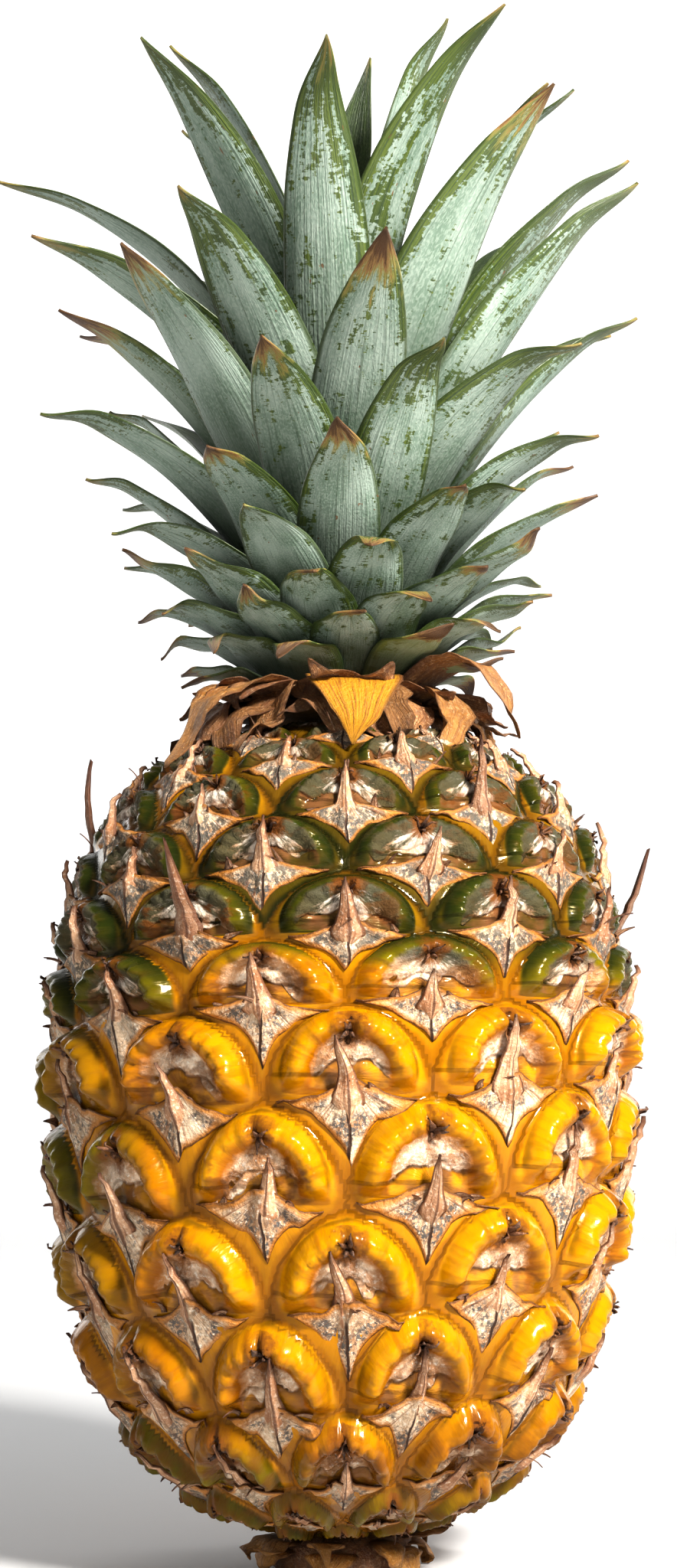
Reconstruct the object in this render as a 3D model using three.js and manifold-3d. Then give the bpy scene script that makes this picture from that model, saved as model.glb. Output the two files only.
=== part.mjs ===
// A ripe pineapple that stands on its cut stalk. Millimetres, +Z up, its front towards -Y.
// The origin is the centre of the stalk's cut face. An angle round the axis is 0 at the front
// and grows to the right, so that it turns from -Y to +X.

import * as THREE from "three";
import { mergeVertices } from "three/addons/utils/BufferGeometryUtils.js";
import Module from "manifold-3d";

const wasm = await Module();
wasm.setup();

const CLEARANCE = 0.35; // air left between neighbouring solids
const DEGREE = Math.PI / 180;

// ---- Driving dimensions of the fruit ----

// The body under the eyes is a squared ellipse turned round the axis.
const BODY_RADIUS = 52.2;
const BODY_WAIST_Z = 98;
const BODY_TOP_Z = 155;
const BODY_BOTTOM_Z = 7.5;
const BODY_SQUARENESS = 2.5;
const BODY_STEPS = 4000; // samples along the body's outline, for measuring only

// The eyes follow one helix that climbs to the right, and each turn is a row of them.
const EYES_PER_TURN = 11.5;
const FIRST_EYE = -44; // eye 0 faces the front at ROW_ZERO_Z, and row 1 starts one turn above it
const LAST_EYE = 92;
const ROW_ZERO_Z = 59;
const ROW_ZERO_ANGLE = 1; // degrees
const ROW_PITCH_LOW = 17.6; // between rows, below the waist
const ROW_PITCH_HIGH = 11.2; // between rows, on the shoulder
const PITCH_CHANGE_Z = [84, 110];
const FULL_SIZE_RADIUS = 40; // eyes shrink where the body is slimmer than this
const SHRINK_POWER = 0.8;
const EYE_JITTER = 0.035; // of half an eye's width

// ---- Driving dimensions of the crown ----

const LEAF_COUNT = 106; // every leaf of the crown, from the withered collar to the heart
const WITHERED_LEAVES = 14;
const BASAL_LEAVES = 37; // small green leaves above the collar
const LEAF_DIVERGENCE = 137.508; // degrees from one leaf to the next
const FIRST_LEAF_ANGLE = 164.3;
const LEAF_SPAN = 25; // most degrees that a leaf's root wraps to each side
const CHANNEL_RADIUS = 14; // of a leaf's cross section, away from its root

// The stem that carries the leaves tapers from the collar to the heart.
const STEM_BOTTOM_Z = 157.5;
const STEM_SPLIT_Z = 161.2; // the withered collar's part of the stem ends here
const STEM_TOP_Z = 234;
const STEM_BOTTOM_RADIUS = 16;
const STEM_TOP_RADIUS = 2.2;
const STEM_SIDES = 14;

// How the leaves change up the stem: [share of the way from collar to heart, value].
const ROOT_Z = [[0, 158.2], [0.125, 160.2], [0.133, 162.2], [0.42, 168.5], [0.6, 176.5],
  [0.8, 190], [0.93, 208], [1, 228]];
const TIP_Z = [[0, 158], [0.125, 160], [0.14, 165], [0.42, 184], [0.6, 205], [0.8, 243], [0.9, 276],
  [0.96, 293], [1, 292]];
const TIP_RADIUS = [[0, 30], [0.16, 32], [0.42, 42], [0.6, 50], [0.8, 60], [0.88, 58], [0.95, 40],
  [1, 10]];
const ROOT_SLOPE = [[0, 25], [0.125, 25], [0.14, 44], [0.42, 49], [0.6, 56], [0.8, 66], [0.93, 78],
  [1, 87]];
const LEAF_WIDTH = [[0, 14], [0.16, 13], [0.42, 16], [0.6, 17], [0.85, 20], [1, 12]];
// How some tips stray from the even spiral: [leaf, degrees turned, millimetres out, millimetres up].
const STRAYS = [[54, 0, 0, 2], [56, -9, 0, -3], [57, 0, 3, 4], [59, 4, 0, 4], [61, 0, 0, 6],
  [62, -7, 0, -7], [64, 6, 0, -6], [65, 0, -4, 6], [67, 1, 0, 8], [69, 0, 7, 1], [70, 0, -2, -4],
  [72, 0, 0, -2], [73, 0, -2, 4], [74, 0, -10, 2], [75, 11, 0, -1], [77, 3, 0, 11], [78, 0, 0, 11],
  [80, 3, 0, 0], [82, 0, -4, 0], [83, 10, 0, 19], [86, 0, -1, -3], [87, 0, -2, -5], [88, 14, 0, 12],
  [90, 0, 6, -17], [91, 0, -3, 5], [93, 3, 0, 0], [95, 0, 15, -6], [96, 6, 0, -7], [98, 2, 13, -10],
  [99, 0, 2, 1], [101, 31, 10, -3], [103, 0, 12, 0], [104, -15, 8, 4], [105, -60, 0, 7]];
const LEAF_BEND = 0.55; // where a leaf's root slope gives way, as a share of its length
const LEAF_THICKNESS = 1.1;

// ---- Driving dimensions of the stalk ----

const STALK_RADIUS = 12.5;
const STALK_SIDES = 12;
const STALK_BRACTS = 7;
const BRACT_FOOT_RADIUS = 17.5;
const BRACT_WIDTH = 10;

// ---- Small tools ----

const mix = (a, b, share) => a + (b - a) * share;

function smoothStep(low, high, value) {
  const share = Math.min(1, Math.max(0, (value - low) / (high - low)));
  return share * share * (3 - 2 * share);
}

// The value at a share along hand-set [share, value] pairs, eased from each to the next.
function along(pairs, share) {
  const last = pairs.length - 2;
  const found = pairs.findIndex((pair, i) => i > 0 && share <= pair[0]) - 1;
  const i = found < 0 ? last : found;
  const [[x0, y0], [x1, y1]] = [pairs[i], pairs[i + 1]];
  const slope = (a, b) => (pairs[b][1] - pairs[a][1]) / (pairs[b][0] - pairs[a][0]);
  const width = x1 - x0;
  const start = slope(Math.max(0, i - 1), i + 1) * width;
  const end = slope(i, Math.min(last + 1, i + 2)) * width;
  const t = (share - x0) / width;
  return y0 * (2 * t ** 3 - 3 * t ** 2 + 1) + start * (t ** 3 - 2 * t ** 2 + t)
    + y1 * (3 * t ** 2 - 2 * t ** 3) + end * (t ** 3 - t ** 2);
}

// A repeatable random number from -1 to 1 for a numbered thing and one of its traits.
function chance(number, trait) {
  const wave = Math.sin(number * 127.1 + trait * 311.7) * 43758.5453;
  return 2 * (wave - Math.floor(wave)) - 1;
}

// A mesh made of points and the triangles between them, seen from outside.
class Skin {
  points = [];
  triangles = [];

  add(x, y, z) {
    this.points.push(x, y, z);
    return this.points.length / 3 - 1;
  }

  face(...corners) {
    for (let i = 2; i < corners.length; i++) {
      this.triangles.push(corners[0], corners[i - 1], corners[i]);
    }
  }

  // Triangles between two rows of points, the first below the second as seen from outside.
  strip(lower, upper) {
    let [i, j] = [0, 0];
    while (i < lower.length - 1 || j < upper.length - 1) {
      const lowerNext = (i + 1) / (lower.length - 1);
      const upperNext = (j + 1) / (upper.length - 1);
      if (j === upper.length - 1 || (i < lower.length - 1 && lowerNext <= upperNext)) {
        this.face(lower[i], lower[i + 1], upper[j]);
        i += 1;
      } else {
        this.face(lower[i], upper[j + 1], upper[j]);
        j += 1;
      }
    }
  }

  geometry() {
    const made = new THREE.BufferGeometry();
    made.setAttribute("position", new THREE.Float32BufferAttribute(this.points, 3));
    made.setIndex(this.triangles);
    made.computeVertexNormals();
    return made;
  }
}

function solidOf(geometry) {
  const bare = geometry.clone();
  bare.deleteAttribute("normal");
  bare.deleteAttribute("uv");
  const merged = mergeVertices(bare, 1e-4);
  return new wasm.Manifold(new wasm.Mesh({
    numProp: 3,
    vertProperties: new Float32Array(merged.attributes.position.array),
    triVerts: new Uint32Array(merged.index.array),
  }));
}

function geometryOf(solid) {
  const mesh = solid.getMesh();
  const made = new THREE.BufferGeometry();
  made.setAttribute("position", new THREE.BufferAttribute(mesh.vertProperties, 3));
  made.setIndex(new THREE.BufferAttribute(mesh.triVerts, 1));
  made.computeVertexNormals();
  return made;
}

const joined = (geometries) =>
  geometryOf(geometries.map(solidOf).reduce((sum, solid) => sum.add(solid)));

// ---- The fruit ----

// The body's outline from the bottom up: row number, radius, height and outward direction.
function bodyOutline() {
  const at = (turn) => {
    const [across, up] = [Math.cos(turn), Math.sin(turn)];
    const half = up > 0 ? BODY_TOP_Z - BODY_WAIST_Z : BODY_WAIST_Z - BODY_BOTTOM_Z;
    const power = 2 / BODY_SQUARENESS;
    return {
      radius: BODY_RADIUS * across ** power,
      z: BODY_WAIST_Z + Math.sign(up) * half * Math.abs(up) ** power,
    };
  };
  const outline = [];
  let row = 0;
  for (let i = 1; i < BODY_STEPS; i++) {
    const before = at(Math.PI * ((i - 1) / BODY_STEPS - 0.5));
    const here = at(Math.PI * (i / BODY_STEPS - 0.5));
    const length = Math.hypot(here.radius - before.radius, here.z - before.z);
    const pitch = mix(ROW_PITCH_LOW, ROW_PITCH_HIGH, smoothStep(...PITCH_CHANGE_Z, here.z));
    const shrink = Math.min(1, Math.max(3, here.radius) / FULL_SIZE_RADIUS) ** SHRINK_POWER;
    row += length / (pitch * shrink);
    outline.push({
      ...here,
      row,
      outR: (here.z - before.z) / length,
      outZ: (before.radius - here.radius) / length,
    });
  }
  const zero = outline.find((point) => point.z >= ROW_ZERO_Z).row;
  outline.forEach((point) => (point.row -= zero));
  return outline;
}

const OUTLINE = bodyOutline();

function bodyAt(row) {
  let [low, high] = [0, OUTLINE.length - 1];
  while (high - low > 1) {
    const middle = (low + high) >> 1;
    if (OUTLINE[middle].row < row) low = middle;
    else high = middle;
  }
  const [a, b] = [OUTLINE[low], OUTLINE[high]];
  const share = Math.min(1, Math.max(0, (row - a.row) / (b.row - a.row)));
  return {
    radius: mix(a.radius, b.radius, share),
    z: mix(a.z, b.z, share),
    outR: a.outR,
    outZ: a.outZ,
  };
}

// An eye's features: [half widths to the right, rows up, millimetres out].
// The ridge arches over the papery disc, and its edge is the groove that the eyes share.
const EDGE = { top: [0, 0.55, 0.2], near: [0.52, 0.38, 0], far: [0.8, -0.04, 0] };
const RIDGE = [[-0.68, -0.33, 1.4], [-0.63, 0.0, 3], [-0.38, 0.27, 3.4], [0, 0.39, 3.5],
  [0.38, 0.27, 3.4], [0.63, 0.0, 3], [0.68, -0.33, 1.4]];
const DISC = [[-0.42, -0.25, 2], [-0.34, 0.02, 2.1], [0, 0.17, 2], [0.34, 0.02, 2.1],
  [0.42, -0.25, 2]];
const DISC_CENTRE = [0, -0.05, 2.4];

// The bract is the dry scale under the disc, whose spine curls up over it.
const BRACT_WING = [0.5, -0.46, 2];
const BRACT_RIB = [0, -0.86, 1.5];
const SPINE_ROOT = [[-0.13, -0.23, 3], [0, -0.42, 3.4], [0.13, -0.23, 3]];
const SPINE_WAIST = [[-0.06, -0.02, 3.3], [0, -0.12, 4.6], [0.06, -0.02, 3.3]];
const SPINE_TIP = [0, 0.32, 4.9];
const SPINE_SWAY = 0.16;
const SPINE_STRETCH = 0.4; // of the spine's length and stand-off, either way

function fruit() {
  const skin = new Skin();
  const known = new Map();

  // The point of eye k at a feature's place, the same for every eye that shares it.
  const point = (k, name, [right, up, out]) => {
    const key = `${k} ${name}`;
    if (!known.has(key)) {
      const across = right + EYE_JITTER * chance(k, 1);
      const body = bodyAt(k / EYES_PER_TURN + up + EYE_JITTER * chance(k, 2));
      const size = Math.min(1, body.radius / FULL_SIZE_RADIUS);
      const angle = (ROW_ZERO_ANGLE + (k * 360 + across * 180) / EYES_PER_TURN) * DEGREE;
      const height = out * size * (1 + 0.12 * chance(k, 3));
      const reach = body.radius + height * body.outR;
      const z = body.z + height * body.outZ;
      known.set(key, skin.add(reach * Math.sin(angle), -reach * Math.cos(angle), z));
    }
    return known.get(key);
  };
  const all = (k, name, features) => features.map((feature, i) => point(k, name + i, feature));
  const mirrored = ([right, up, out]) => [-right, up, out];
  const top = (k) => point(k, "top", EDGE.top);
  const side = (k, name, turn) => [
    point(k, name + "near", turn(EDGE.near)),
    point(k, name + "far", turn(EDGE.far)),
  ];
  const leftSide = (k) => side(k, "left", mirrored);
  const rightSide = (k) => side(k, "right", (feature) => feature);

  const turnBelow = Math.floor(EYES_PER_TURN);
  for (let k = FIRST_EYE; k <= LAST_EYE; k++) {
    const [lowerRight, lowerLeft] = [k - turnBelow, k - turnBelow - 1];
    const bottom = top(k - 2 * turnBelow - 1);
    const [leftCorner, rightCorner] = [top(lowerLeft), top(lowerRight)];
    const [leftNear, leftFar] = leftSide(k);
    const [rightNear, rightFar] = rightSide(k);
    const ridge = all(k, "ridge", RIDGE);
    const disc = all(k, "disc", DISC);
    const centre = point(k, "centre", DISC_CENTRE);
    const rim = [leftCorner, leftFar, leftNear, top(k), rightNear, rightFar, rightCorner];
    skin.strip(ridge, rim);
    skin.strip(disc, ridge);
    for (let i = 1; i < disc.length; i++) skin.face(centre, disc[i], disc[i - 1]);

    const root = all(k, "root", SPINE_ROOT);
    const sway = SPINE_SWAY * chance(k, 4);
    const stretch = 1 + SPINE_STRETCH * chance(k, 5);
    const swayed = ([right, up, out], share) => [
      right + sway * share,
      SPINE_ROOT[0][1] + (up - SPINE_ROOT[0][1]) * stretch,
      out * (1 + (stretch - 1) * share),
    ];
    const waist = all(k, "waist", SPINE_WAIST.map((feature) => swayed(feature, 0.3)));
    const tip = point(k, "tip", swayed(SPINE_TIP, 1));
    skin.face(centre, disc[0], root[0]);
    skin.face(centre, root[0], root[2]);
    skin.face(centre, root[2], disc[4]);
    for (let i = 0; i < 3; i++) {
      const next = (i + 1) % 3;
      skin.face(root[i], root[next], waist[next], waist[i]);
      skin.face(waist[i], waist[next], tip);
    }

    const leftWing = point(k, "leftWing", mirrored(BRACT_WING));
    const rightWing = point(k, "rightWing", BRACT_WING);
    const rib = point(k, "rib", BRACT_RIB);
    const [leftUpper, leftLower] = rightSide(lowerLeft);
    const [rightUpper, rightLower] = leftSide(lowerRight);
    const leftHalf = [leftCorner, leftUpper, leftLower, bottom, rib, root[1], root[0], disc[0],
      ridge[0]];
    leftHalf.forEach((corner, i) => {
      const next = leftHalf[(i + 1) % leftHalf.length];
      if (corner !== leftLower && corner !== bottom) skin.face(leftWing, corner, next);
    });
    skin.face(leftLower, bottom, rib);
    skin.face(leftWing, leftLower, rib);
    const rightHalf = [rightCorner, ridge[6], disc[4], root[2], root[1], rib, bottom, rightLower,
      rightUpper];
    rightHalf.forEach((corner, i) => {
      const next = rightHalf[(i + 1) % rightHalf.length];
      if (corner !== rib && corner !== bottom) skin.face(rightWing, corner, next);
    });
    skin.face(rightLower, rib, bottom);
    skin.face(rightWing, rib, rightLower);
  }
  closeEnds(skin);
  return skin.geometry();
}

// Closes the skin's open rims, at the bottom and under the crown, with a fan to the axis.
function closeEnds(skin) {
  const { triangles, points } = skin;
  const edges = new Map();
  for (let i = 0; i < triangles.length; i += 3) {
    for (let j = 0; j < 3; j++) {
      edges.set(`${triangles[i + j]} ${triangles[i + (j + 1) % 3]}`, true);
    }
  }
  const open = [...edges.keys()].map((key) => key.split(" ").map(Number))
    .filter(([a, b]) => !edges.has(`${b} ${a}`));
  const middle = (BODY_BOTTOM_Z + BODY_TOP_Z) / 2;
  const poles = [skin.add(0, 0, BODY_BOTTOM_Z), skin.add(0, 0, BODY_TOP_Z)];
  for (const [a, b] of open) skin.face(b, a, poles[points[3 * a + 2] > middle ? 1 : 0]);
}

// ---- The crown ----

const stemRadius = (z) => mix(STEM_BOTTOM_RADIUS, STEM_TOP_RADIUS,
  (z - STEM_BOTTOM_Z) / (STEM_TOP_Z - STEM_BOTTOM_Z));

// A length of the stem, closed at both ends.
function stemPiece(bottomZ, topZ) {
  const profile = [
    new THREE.Vector2(0, bottomZ),
    new THREE.Vector2(stemRadius(bottomZ), bottomZ),
    new THREE.Vector2(stemRadius(topZ), topZ),
    new THREE.Vector2(0, topZ),
  ];
  return new THREE.LatheGeometry(profile, STEM_SIDES).rotateX(Math.PI / 2);
}

// A blade's half width along its length, as a share of its widest.
const BLADE_OUTLINE = [[0, 0.86], [0.3, 1], [0.6, 0.85], [0.82, 0.5], [1, 0.04]];

// A leaf or bract. Its middle line is a curve in a plane through the axis, given by points
// [radius, z], and across it the blade is part of a cup round the axis, hollowed a little more.
function blade({ angle, turned, root, control, tip, width, thickness, sunk, stations, chords }) {
  const skin = new Skin();
  const rings = [];
  for (let station = sunk ? -1 : 0; station <= stations; station++) {
    const t = 1 - (1 - Math.max(0, station) / stations) ** 1.25;
    const at = (k) => (1 - t) ** 2 * root[k] + 2 * t * (1 - t) * control[k] + t * t * tip[k];
    const way = (k) => (1 - t) * (control[k] - root[k]) + t * (tip[k] - control[k]);
    const [radius, z] = [at(0), at(1)];
    const speed = Math.hypot(way(0), way(1));
    const [outR, outZ] = [way(1) / speed, -way(0) / speed];
    const wrap = LEAF_SPAN * DEGREE * radius * (1 + 0.6 * t);
    const wide = Math.min(width / 2 * along(BLADE_OUTLINE, t), wrap);
    const thick = thickness * mix(1, 0.65, t) / 2;
    const curl = smoothStep(0, 0.3, t) * Math.max(0, 1 / CHANNEL_RADIUS - 1 / radius);
    const ring = [];
    for (const face of [1, -1]) {
      for (let n = 0; n <= chords; n++) {
        const across = face * (2 * n / chords - 1) * wide;
        const turn = (angle + turned * t) * DEGREE + across / radius;
        const off = face * thick - across ** 2 / 2 * curl;
        const reach = radius + off * outR - (station < 0 ? sunk : 0);
        ring.push(skin.add(reach * Math.sin(turn), -reach * Math.cos(turn), z + off * outZ));
      }
    }
    rings.push(ring);
  }
  const [rootRing, tipRing] = [rings[0], rings.at(-1)];
  skin.strip(rootRing.slice(0, chords + 1).toReversed(), rootRing.slice(chords + 1));
  skin.strip(tipRing.slice(0, chords + 1), tipRing.slice(chords + 1).toReversed());
  for (let i = 1; i < rings.length; i++) {
    const [below, above] = [rings[i - 1], rings[i]];
    skin.strip([...below, below[0]], [...above, above[0]]);
  }
  return skin.geometry();
}

// Leaf i of the crown, counted from the collar up. The cups of successive leaves nest, so that
// none crosses another. A leaf that joins the stem starts a little inside it, and a wild one
// strays from its place in the nest.
function leaf(i, { sunk, wild, stations, chords }) {
  const share = i / (LEAF_COUNT - 1);
  const slope = (along(ROOT_SLOPE, share) + 14 * wild * chance(i, 6)) * DEGREE;
  const rootZ = along(ROOT_Z, share);
  const rootRadius = stemRadius(rootZ) + CLEARANCE + LEAF_THICKNESS / 2;
  const [, turned, out, up] = STRAYS.find(([number]) => number === i) ?? [i, 0, 0, 0];
  const tip = [
    along(TIP_RADIUS, share) + out + 3 * wild * chance(i, 7),
    along(TIP_Z, share) + up + 3 * wild * chance(i, 8),
  ];
  const bend = LEAF_BEND * Math.hypot(tip[0] - rootRadius, tip[1] - rootZ);
  return blade({
    angle: FIRST_LEAF_ANGLE + LEAF_DIVERGENCE * i,
    turned,
    root: [rootRadius, rootZ],
    control: [rootRadius + bend * Math.cos(slope), rootZ + bend * Math.sin(slope)],
    tip,
    width: along(LEAF_WIDTH, share),
    thickness: LEAF_THICKNESS,
    sunk,
    stations,
    chords,
  });
}

// ---- The stalk ----

// The stub of the stalk, with dry bracts that spread to the floor round it.
function stalk() {
  const top = BODY_BOTTOM_Z - CLEARANCE;
  const profile = [[0, 0], [STALK_RADIUS, 0], [STALK_RADIUS, top - 2], [STALK_RADIUS * 0.6, top],
    [0, top]].map(([x, y]) => new THREE.Vector2(x, y));
  const stub = new THREE.LatheGeometry(profile, STALK_SIDES);
  const bracts = [...Array(STALK_BRACTS).keys()].map((i) => blade({
    angle: (i + 0.2 * chance(i, 9)) * 360 / STALK_BRACTS,
    turned: 6 * chance(i, 10),
    root: [STALK_RADIUS, top - 3],
    control: [BRACT_FOOT_RADIUS - 1, top - 2.6],
    tip: [BRACT_FOOT_RADIUS, -0.2],
    width: BRACT_WIDTH,
    thickness: LEAF_THICKNESS,
    sunk: 2,
    stations: 3,
    chords: 2,
  }));
  const made = joined([stub.rotateX(Math.PI / 2), ...bracts]);
  const position = made.getAttribute("position");
  for (let i = 0; i < position.count; i++) position.setZ(i, Math.max(0, position.getZ(i)));
  return made;
}

// ---- The whole ----

const pineapple = new THREE.Group();

function place(name, geometry, color, roughness) {
  const material = new THREE.MeshStandardMaterial({ color, roughness, metalness: 0 });
  const mesh = new THREE.Mesh(geometry, material);
  mesh.name = name;
  pineapple.add(mesh);
}

const WITHERED_LEAF = { sunk: 3, wild: 1, stations: 3, chords: 2 };
const BASAL_LEAF = { sunk: 3, wild: 0, stations: 3, chords: 2 };
const LARGE_LEAF = { sunk: 0, wild: 0, stations: 5, chords: 3 };

const numbers = [...Array(LEAF_COUNT).keys()];
const withered = numbers.slice(0, WITHERED_LEAVES).map((i) => leaf(i, WITHERED_LEAF));
const basal = numbers.slice(WITHERED_LEAVES, WITHERED_LEAVES + BASAL_LEAVES)
  .map((i) => leaf(i, BASAL_LEAF));
const large = numbers.slice(WITHERED_LEAVES + BASAL_LEAVES).map((i) => leaf(i, LARGE_LEAF));

place("fruit", fruit(), 0xd99a1c, 0.4);
place("cut_stalk", stalk(), 0xa9743f, 0.85);
place("withered_collar", joined([stemPiece(STEM_BOTTOM_Z, STEM_SPLIT_Z), ...withered]), 0xa8692f, 0.8);
place("crown_stem", joined([stemPiece(STEM_SPLIT_Z + CLEARANCE, STEM_TOP_Z), ...basal]), 0x8aa486, 0.55);
large.forEach((geometry, n) => {
  place(`leaf_${String(n + 1).padStart(2, "0")}`, geometry, 0x93ab9a, 0.5);
});

export default pineapple;
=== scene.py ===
# %% [markdown]
# # A ripe pineapple, standing on its cut stalk
# A pineapple is a fused mass of fruitlets with a crown of leaves. The part's solids already have its
# form, its eyes and every leaf in place. This script grows the fine surface over them: the glossy
# flesh, the papery bracts with their spines, the scurf on the leaves and the dried collar. Each new
# piece repeats the formula that placed its solid, so it lies where the solid lies.

# %% Load the part as a fixed frame
import bpy
import numpy as np
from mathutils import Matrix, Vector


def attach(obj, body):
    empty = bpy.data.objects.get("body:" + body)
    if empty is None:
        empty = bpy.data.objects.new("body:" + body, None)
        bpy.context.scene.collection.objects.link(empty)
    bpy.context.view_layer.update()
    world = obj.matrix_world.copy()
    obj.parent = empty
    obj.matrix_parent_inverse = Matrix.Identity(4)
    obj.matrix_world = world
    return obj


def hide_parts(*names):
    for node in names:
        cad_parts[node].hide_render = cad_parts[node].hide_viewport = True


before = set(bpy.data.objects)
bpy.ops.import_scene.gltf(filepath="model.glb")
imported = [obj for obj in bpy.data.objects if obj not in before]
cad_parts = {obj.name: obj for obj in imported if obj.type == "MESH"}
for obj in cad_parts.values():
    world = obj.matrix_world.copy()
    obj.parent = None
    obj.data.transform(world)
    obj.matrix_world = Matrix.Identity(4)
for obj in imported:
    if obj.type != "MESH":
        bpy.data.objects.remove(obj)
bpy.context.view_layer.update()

# %% [markdown]
# ## Small tools
# Natural things repeat with small differences, so nearly every shape below is a formula worked on whole
# numpy arrays, plus a little chance. The chance is a fixed function of a number, which makes the same
# pineapple on each run. Lengths are millimetres until a mesh is made.

# %% Numbers: easing, chance and noise
MM = 0.001
TAU = 2 * np.pi


def mix(a, b, share):
    return a + (b - a) * share


def smooth(low, high, value):
    share = np.clip((value - low) / (high - low), 0, 1)
    return share * share * (3 - 2 * share)


def along(pairs, share):
    """The value at a share along hand-set [share, value] pairs, eased from each to the next."""
    x, y = np.array(pairs, float).T
    share = np.asarray(share, float)
    i = np.clip(np.searchsorted(x, share) - 1, 0, len(x) - 2)
    before, after = np.maximum(i - 1, 0), np.minimum(i + 2, len(x) - 1)
    width = x[i + 1] - x[i]
    start = (y[i + 1] - y[before]) / (x[i + 1] - x[before]) * width
    end = (y[after] - y[i]) / (x[after] - x[i]) * width
    t = (share - x[i]) / width
    return (y[i] * (2 * t**3 - 3 * t**2 + 1) + start * (t**3 - 2 * t**2 + t)
            + y[i + 1] * (3 * t**2 - 2 * t**3) + end * (t**3 - t**2))


def bell(value, width):
    """A bump that is 1 where the value is 0 and falls to about a third at that width."""
    return np.exp(-((value / width) ** 2))


def chance(number, trait):
    """A repeatable random number from -1 to 1 for a numbered thing and one of its traits."""
    wave = np.sin(np.asarray(number, float) * 127.1 + trait * 311.7) * 43758.5453
    return 2 * (wave - np.floor(wave)) - 1


def noise(points, size, seed=0):
    """Smooth noise from -1 to 1 with lumps of about that size, at an array of points."""
    cell = np.floor(points / size)
    inside = points / size - cell
    inside = inside * inside * (3 - 2 * inside)
    total = 0
    for corner in np.ndindex(2, 2, 2):
        spot = cell + corner
        weight = np.prod(np.where(corner, inside, 1 - inside), axis=-1)
        total = total + weight * chance(spot @ (1.0, 57.0, 113.0), seed)
    return total


print("chance of leaf 7:", chance(7, 1))

# %% [markdown]
# A mesh is made from an array of points and an array of faces. Values that the finish needs, such as
# how far a point is from an arch's crest, are worked out here while the shape is known, and go along
# with the points as attributes. A shader can then draw sharp edges with them at any distance.

# %% Meshes from arrays
def vectors(x, y=0.0, z=0.0):
    """Three arrays of numbers side by side, as one array of vectors."""
    return np.stack(np.broadcast_arrays(x, y, z), -1)


def round_axis(radius, angle, z):
    """Points round the axis, with the angle counted from the front."""
    return vectors(radius * np.sin(angle), -radius * np.cos(angle), z)


def sheet_faces(rows, columns, wrap=False):
    """Four-cornered faces between the points of a grid, which may close on itself across."""
    row, column = np.meshgrid(np.arange(rows - 1), np.arange(columns if wrap else columns - 1),
                              indexing="ij")
    right = (column + 1) % columns
    corners = [row * columns + column, row * columns + right,
               (row + 1) * columns + right, (row + 1) * columns + column]
    return np.stack(corners, -1).reshape(-1, 4)


def many_sheets(numbers, down, across):
    """One small grid for each number: every point's number and its two places, and the faces."""
    grid = np.meshgrid(numbers, down, across, indexing="ij")
    first_points = len(down) * len(across) * np.arange(len(numbers))[:, None, None]
    return *grid, (sheet_faces(len(down), len(across)) + first_points).reshape(-1, 4)


def many_strips(numbers, stations, chords):
    """The same for strips, which run from 0 to 1 and are -1 to 1 across."""
    return many_sheets(numbers, np.linspace(0, 1, stations), np.linspace(-1, 1, chords + 1))


def add_mesh(name, points, faces, finish):
    """A smooth mesh object. Points are in millimetres, and faces come as a list of arrays."""
    mesh = bpy.data.meshes.new(name)
    all_faces = [face for group in faces for face in group.tolist()]
    mesh.from_pydata((points.reshape(-1, 3) * MM).tolist(), [], all_faces)
    mesh.polygons.foreach_set("use_smooth", np.ones(len(mesh.polygons), bool))
    mesh.materials.append(finish)
    made = bpy.data.objects.new(name, mesh)
    bpy.context.scene.collection.objects.link(made)
    return made


def add_piece(name, points, faces, finish, slot, replaced=(), **attributes):
    """A mesh that rides on the part, with vectors at its points for its finish to read."""
    piece = add_mesh(name, points, faces, finish)
    for key, values in attributes.items():
        made = piece.data.attributes.new(key, "FLOAT_VECTOR", "POINT")
        made.data.foreach_set("vector", np.ascontiguousarray(values, np.float32).ravel())
    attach(piece, "root")
    if replaced:
        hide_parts(*replaced)
    return piece


def tell(piece):
    """Prints a piece's name and the number of its triangles."""
    mesh = piece.evaluated_get(bpy.context.evaluated_depsgraph_get()).data
    print(piece.name, sum(len(face.vertices) - 2 for face in mesh.polygons), "triangles")


def add_thin_sheets(name, points, faces, finish, thickness, **attributes):
    """A piece of thin sheets, which get their thickness inwards from the side that is seen."""
    piece = add_piece(name, points, [faces], finish, "rind", **attributes)
    solid = piece.modifiers.new("thickness", "SOLIDIFY")
    solid.thickness = thickness * MM
    solid.offset = -1
    tell(piece)


print("a 3 by 3 grid has", len(sheet_faces(3, 3)), "faces")

# %% [markdown]
# ## Shader tools
# A material is a tree of nodes. These few functions write one node to a line and hand back its output,
# so that a tree reads like a sum. An effect that several finishes share is a node group: it is built
# once, with named inputs and outputs, and each material sets its own values on it.

# %% Nodes in few words
class Value:
    """One output in a shader tree. Sums and products of values add Math nodes to the tree."""

    def __init__(self, socket):
        self.socket, self.tree = socket, socket.id_data

    def __add__(self, other):
        return maths("ADD", self, other)

    def __sub__(self, other):
        return maths("SUBTRACT", self, other)

    def __rsub__(self, other):
        return maths("SUBTRACT", other, self)

    def __mul__(self, other):
        return maths("MULTIPLY", self, other)

    def __abs__(self):
        return maths("ABSOLUTE", self)


def plug(value, socket):
    """Links a value to a socket, or sets a number or a colour on it."""
    if isinstance(value, Value):
        value.tree.links.new(value.socket, socket)
    else:
        socket.default_value = (*value, 1) if isinstance(value, tuple) else value


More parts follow.
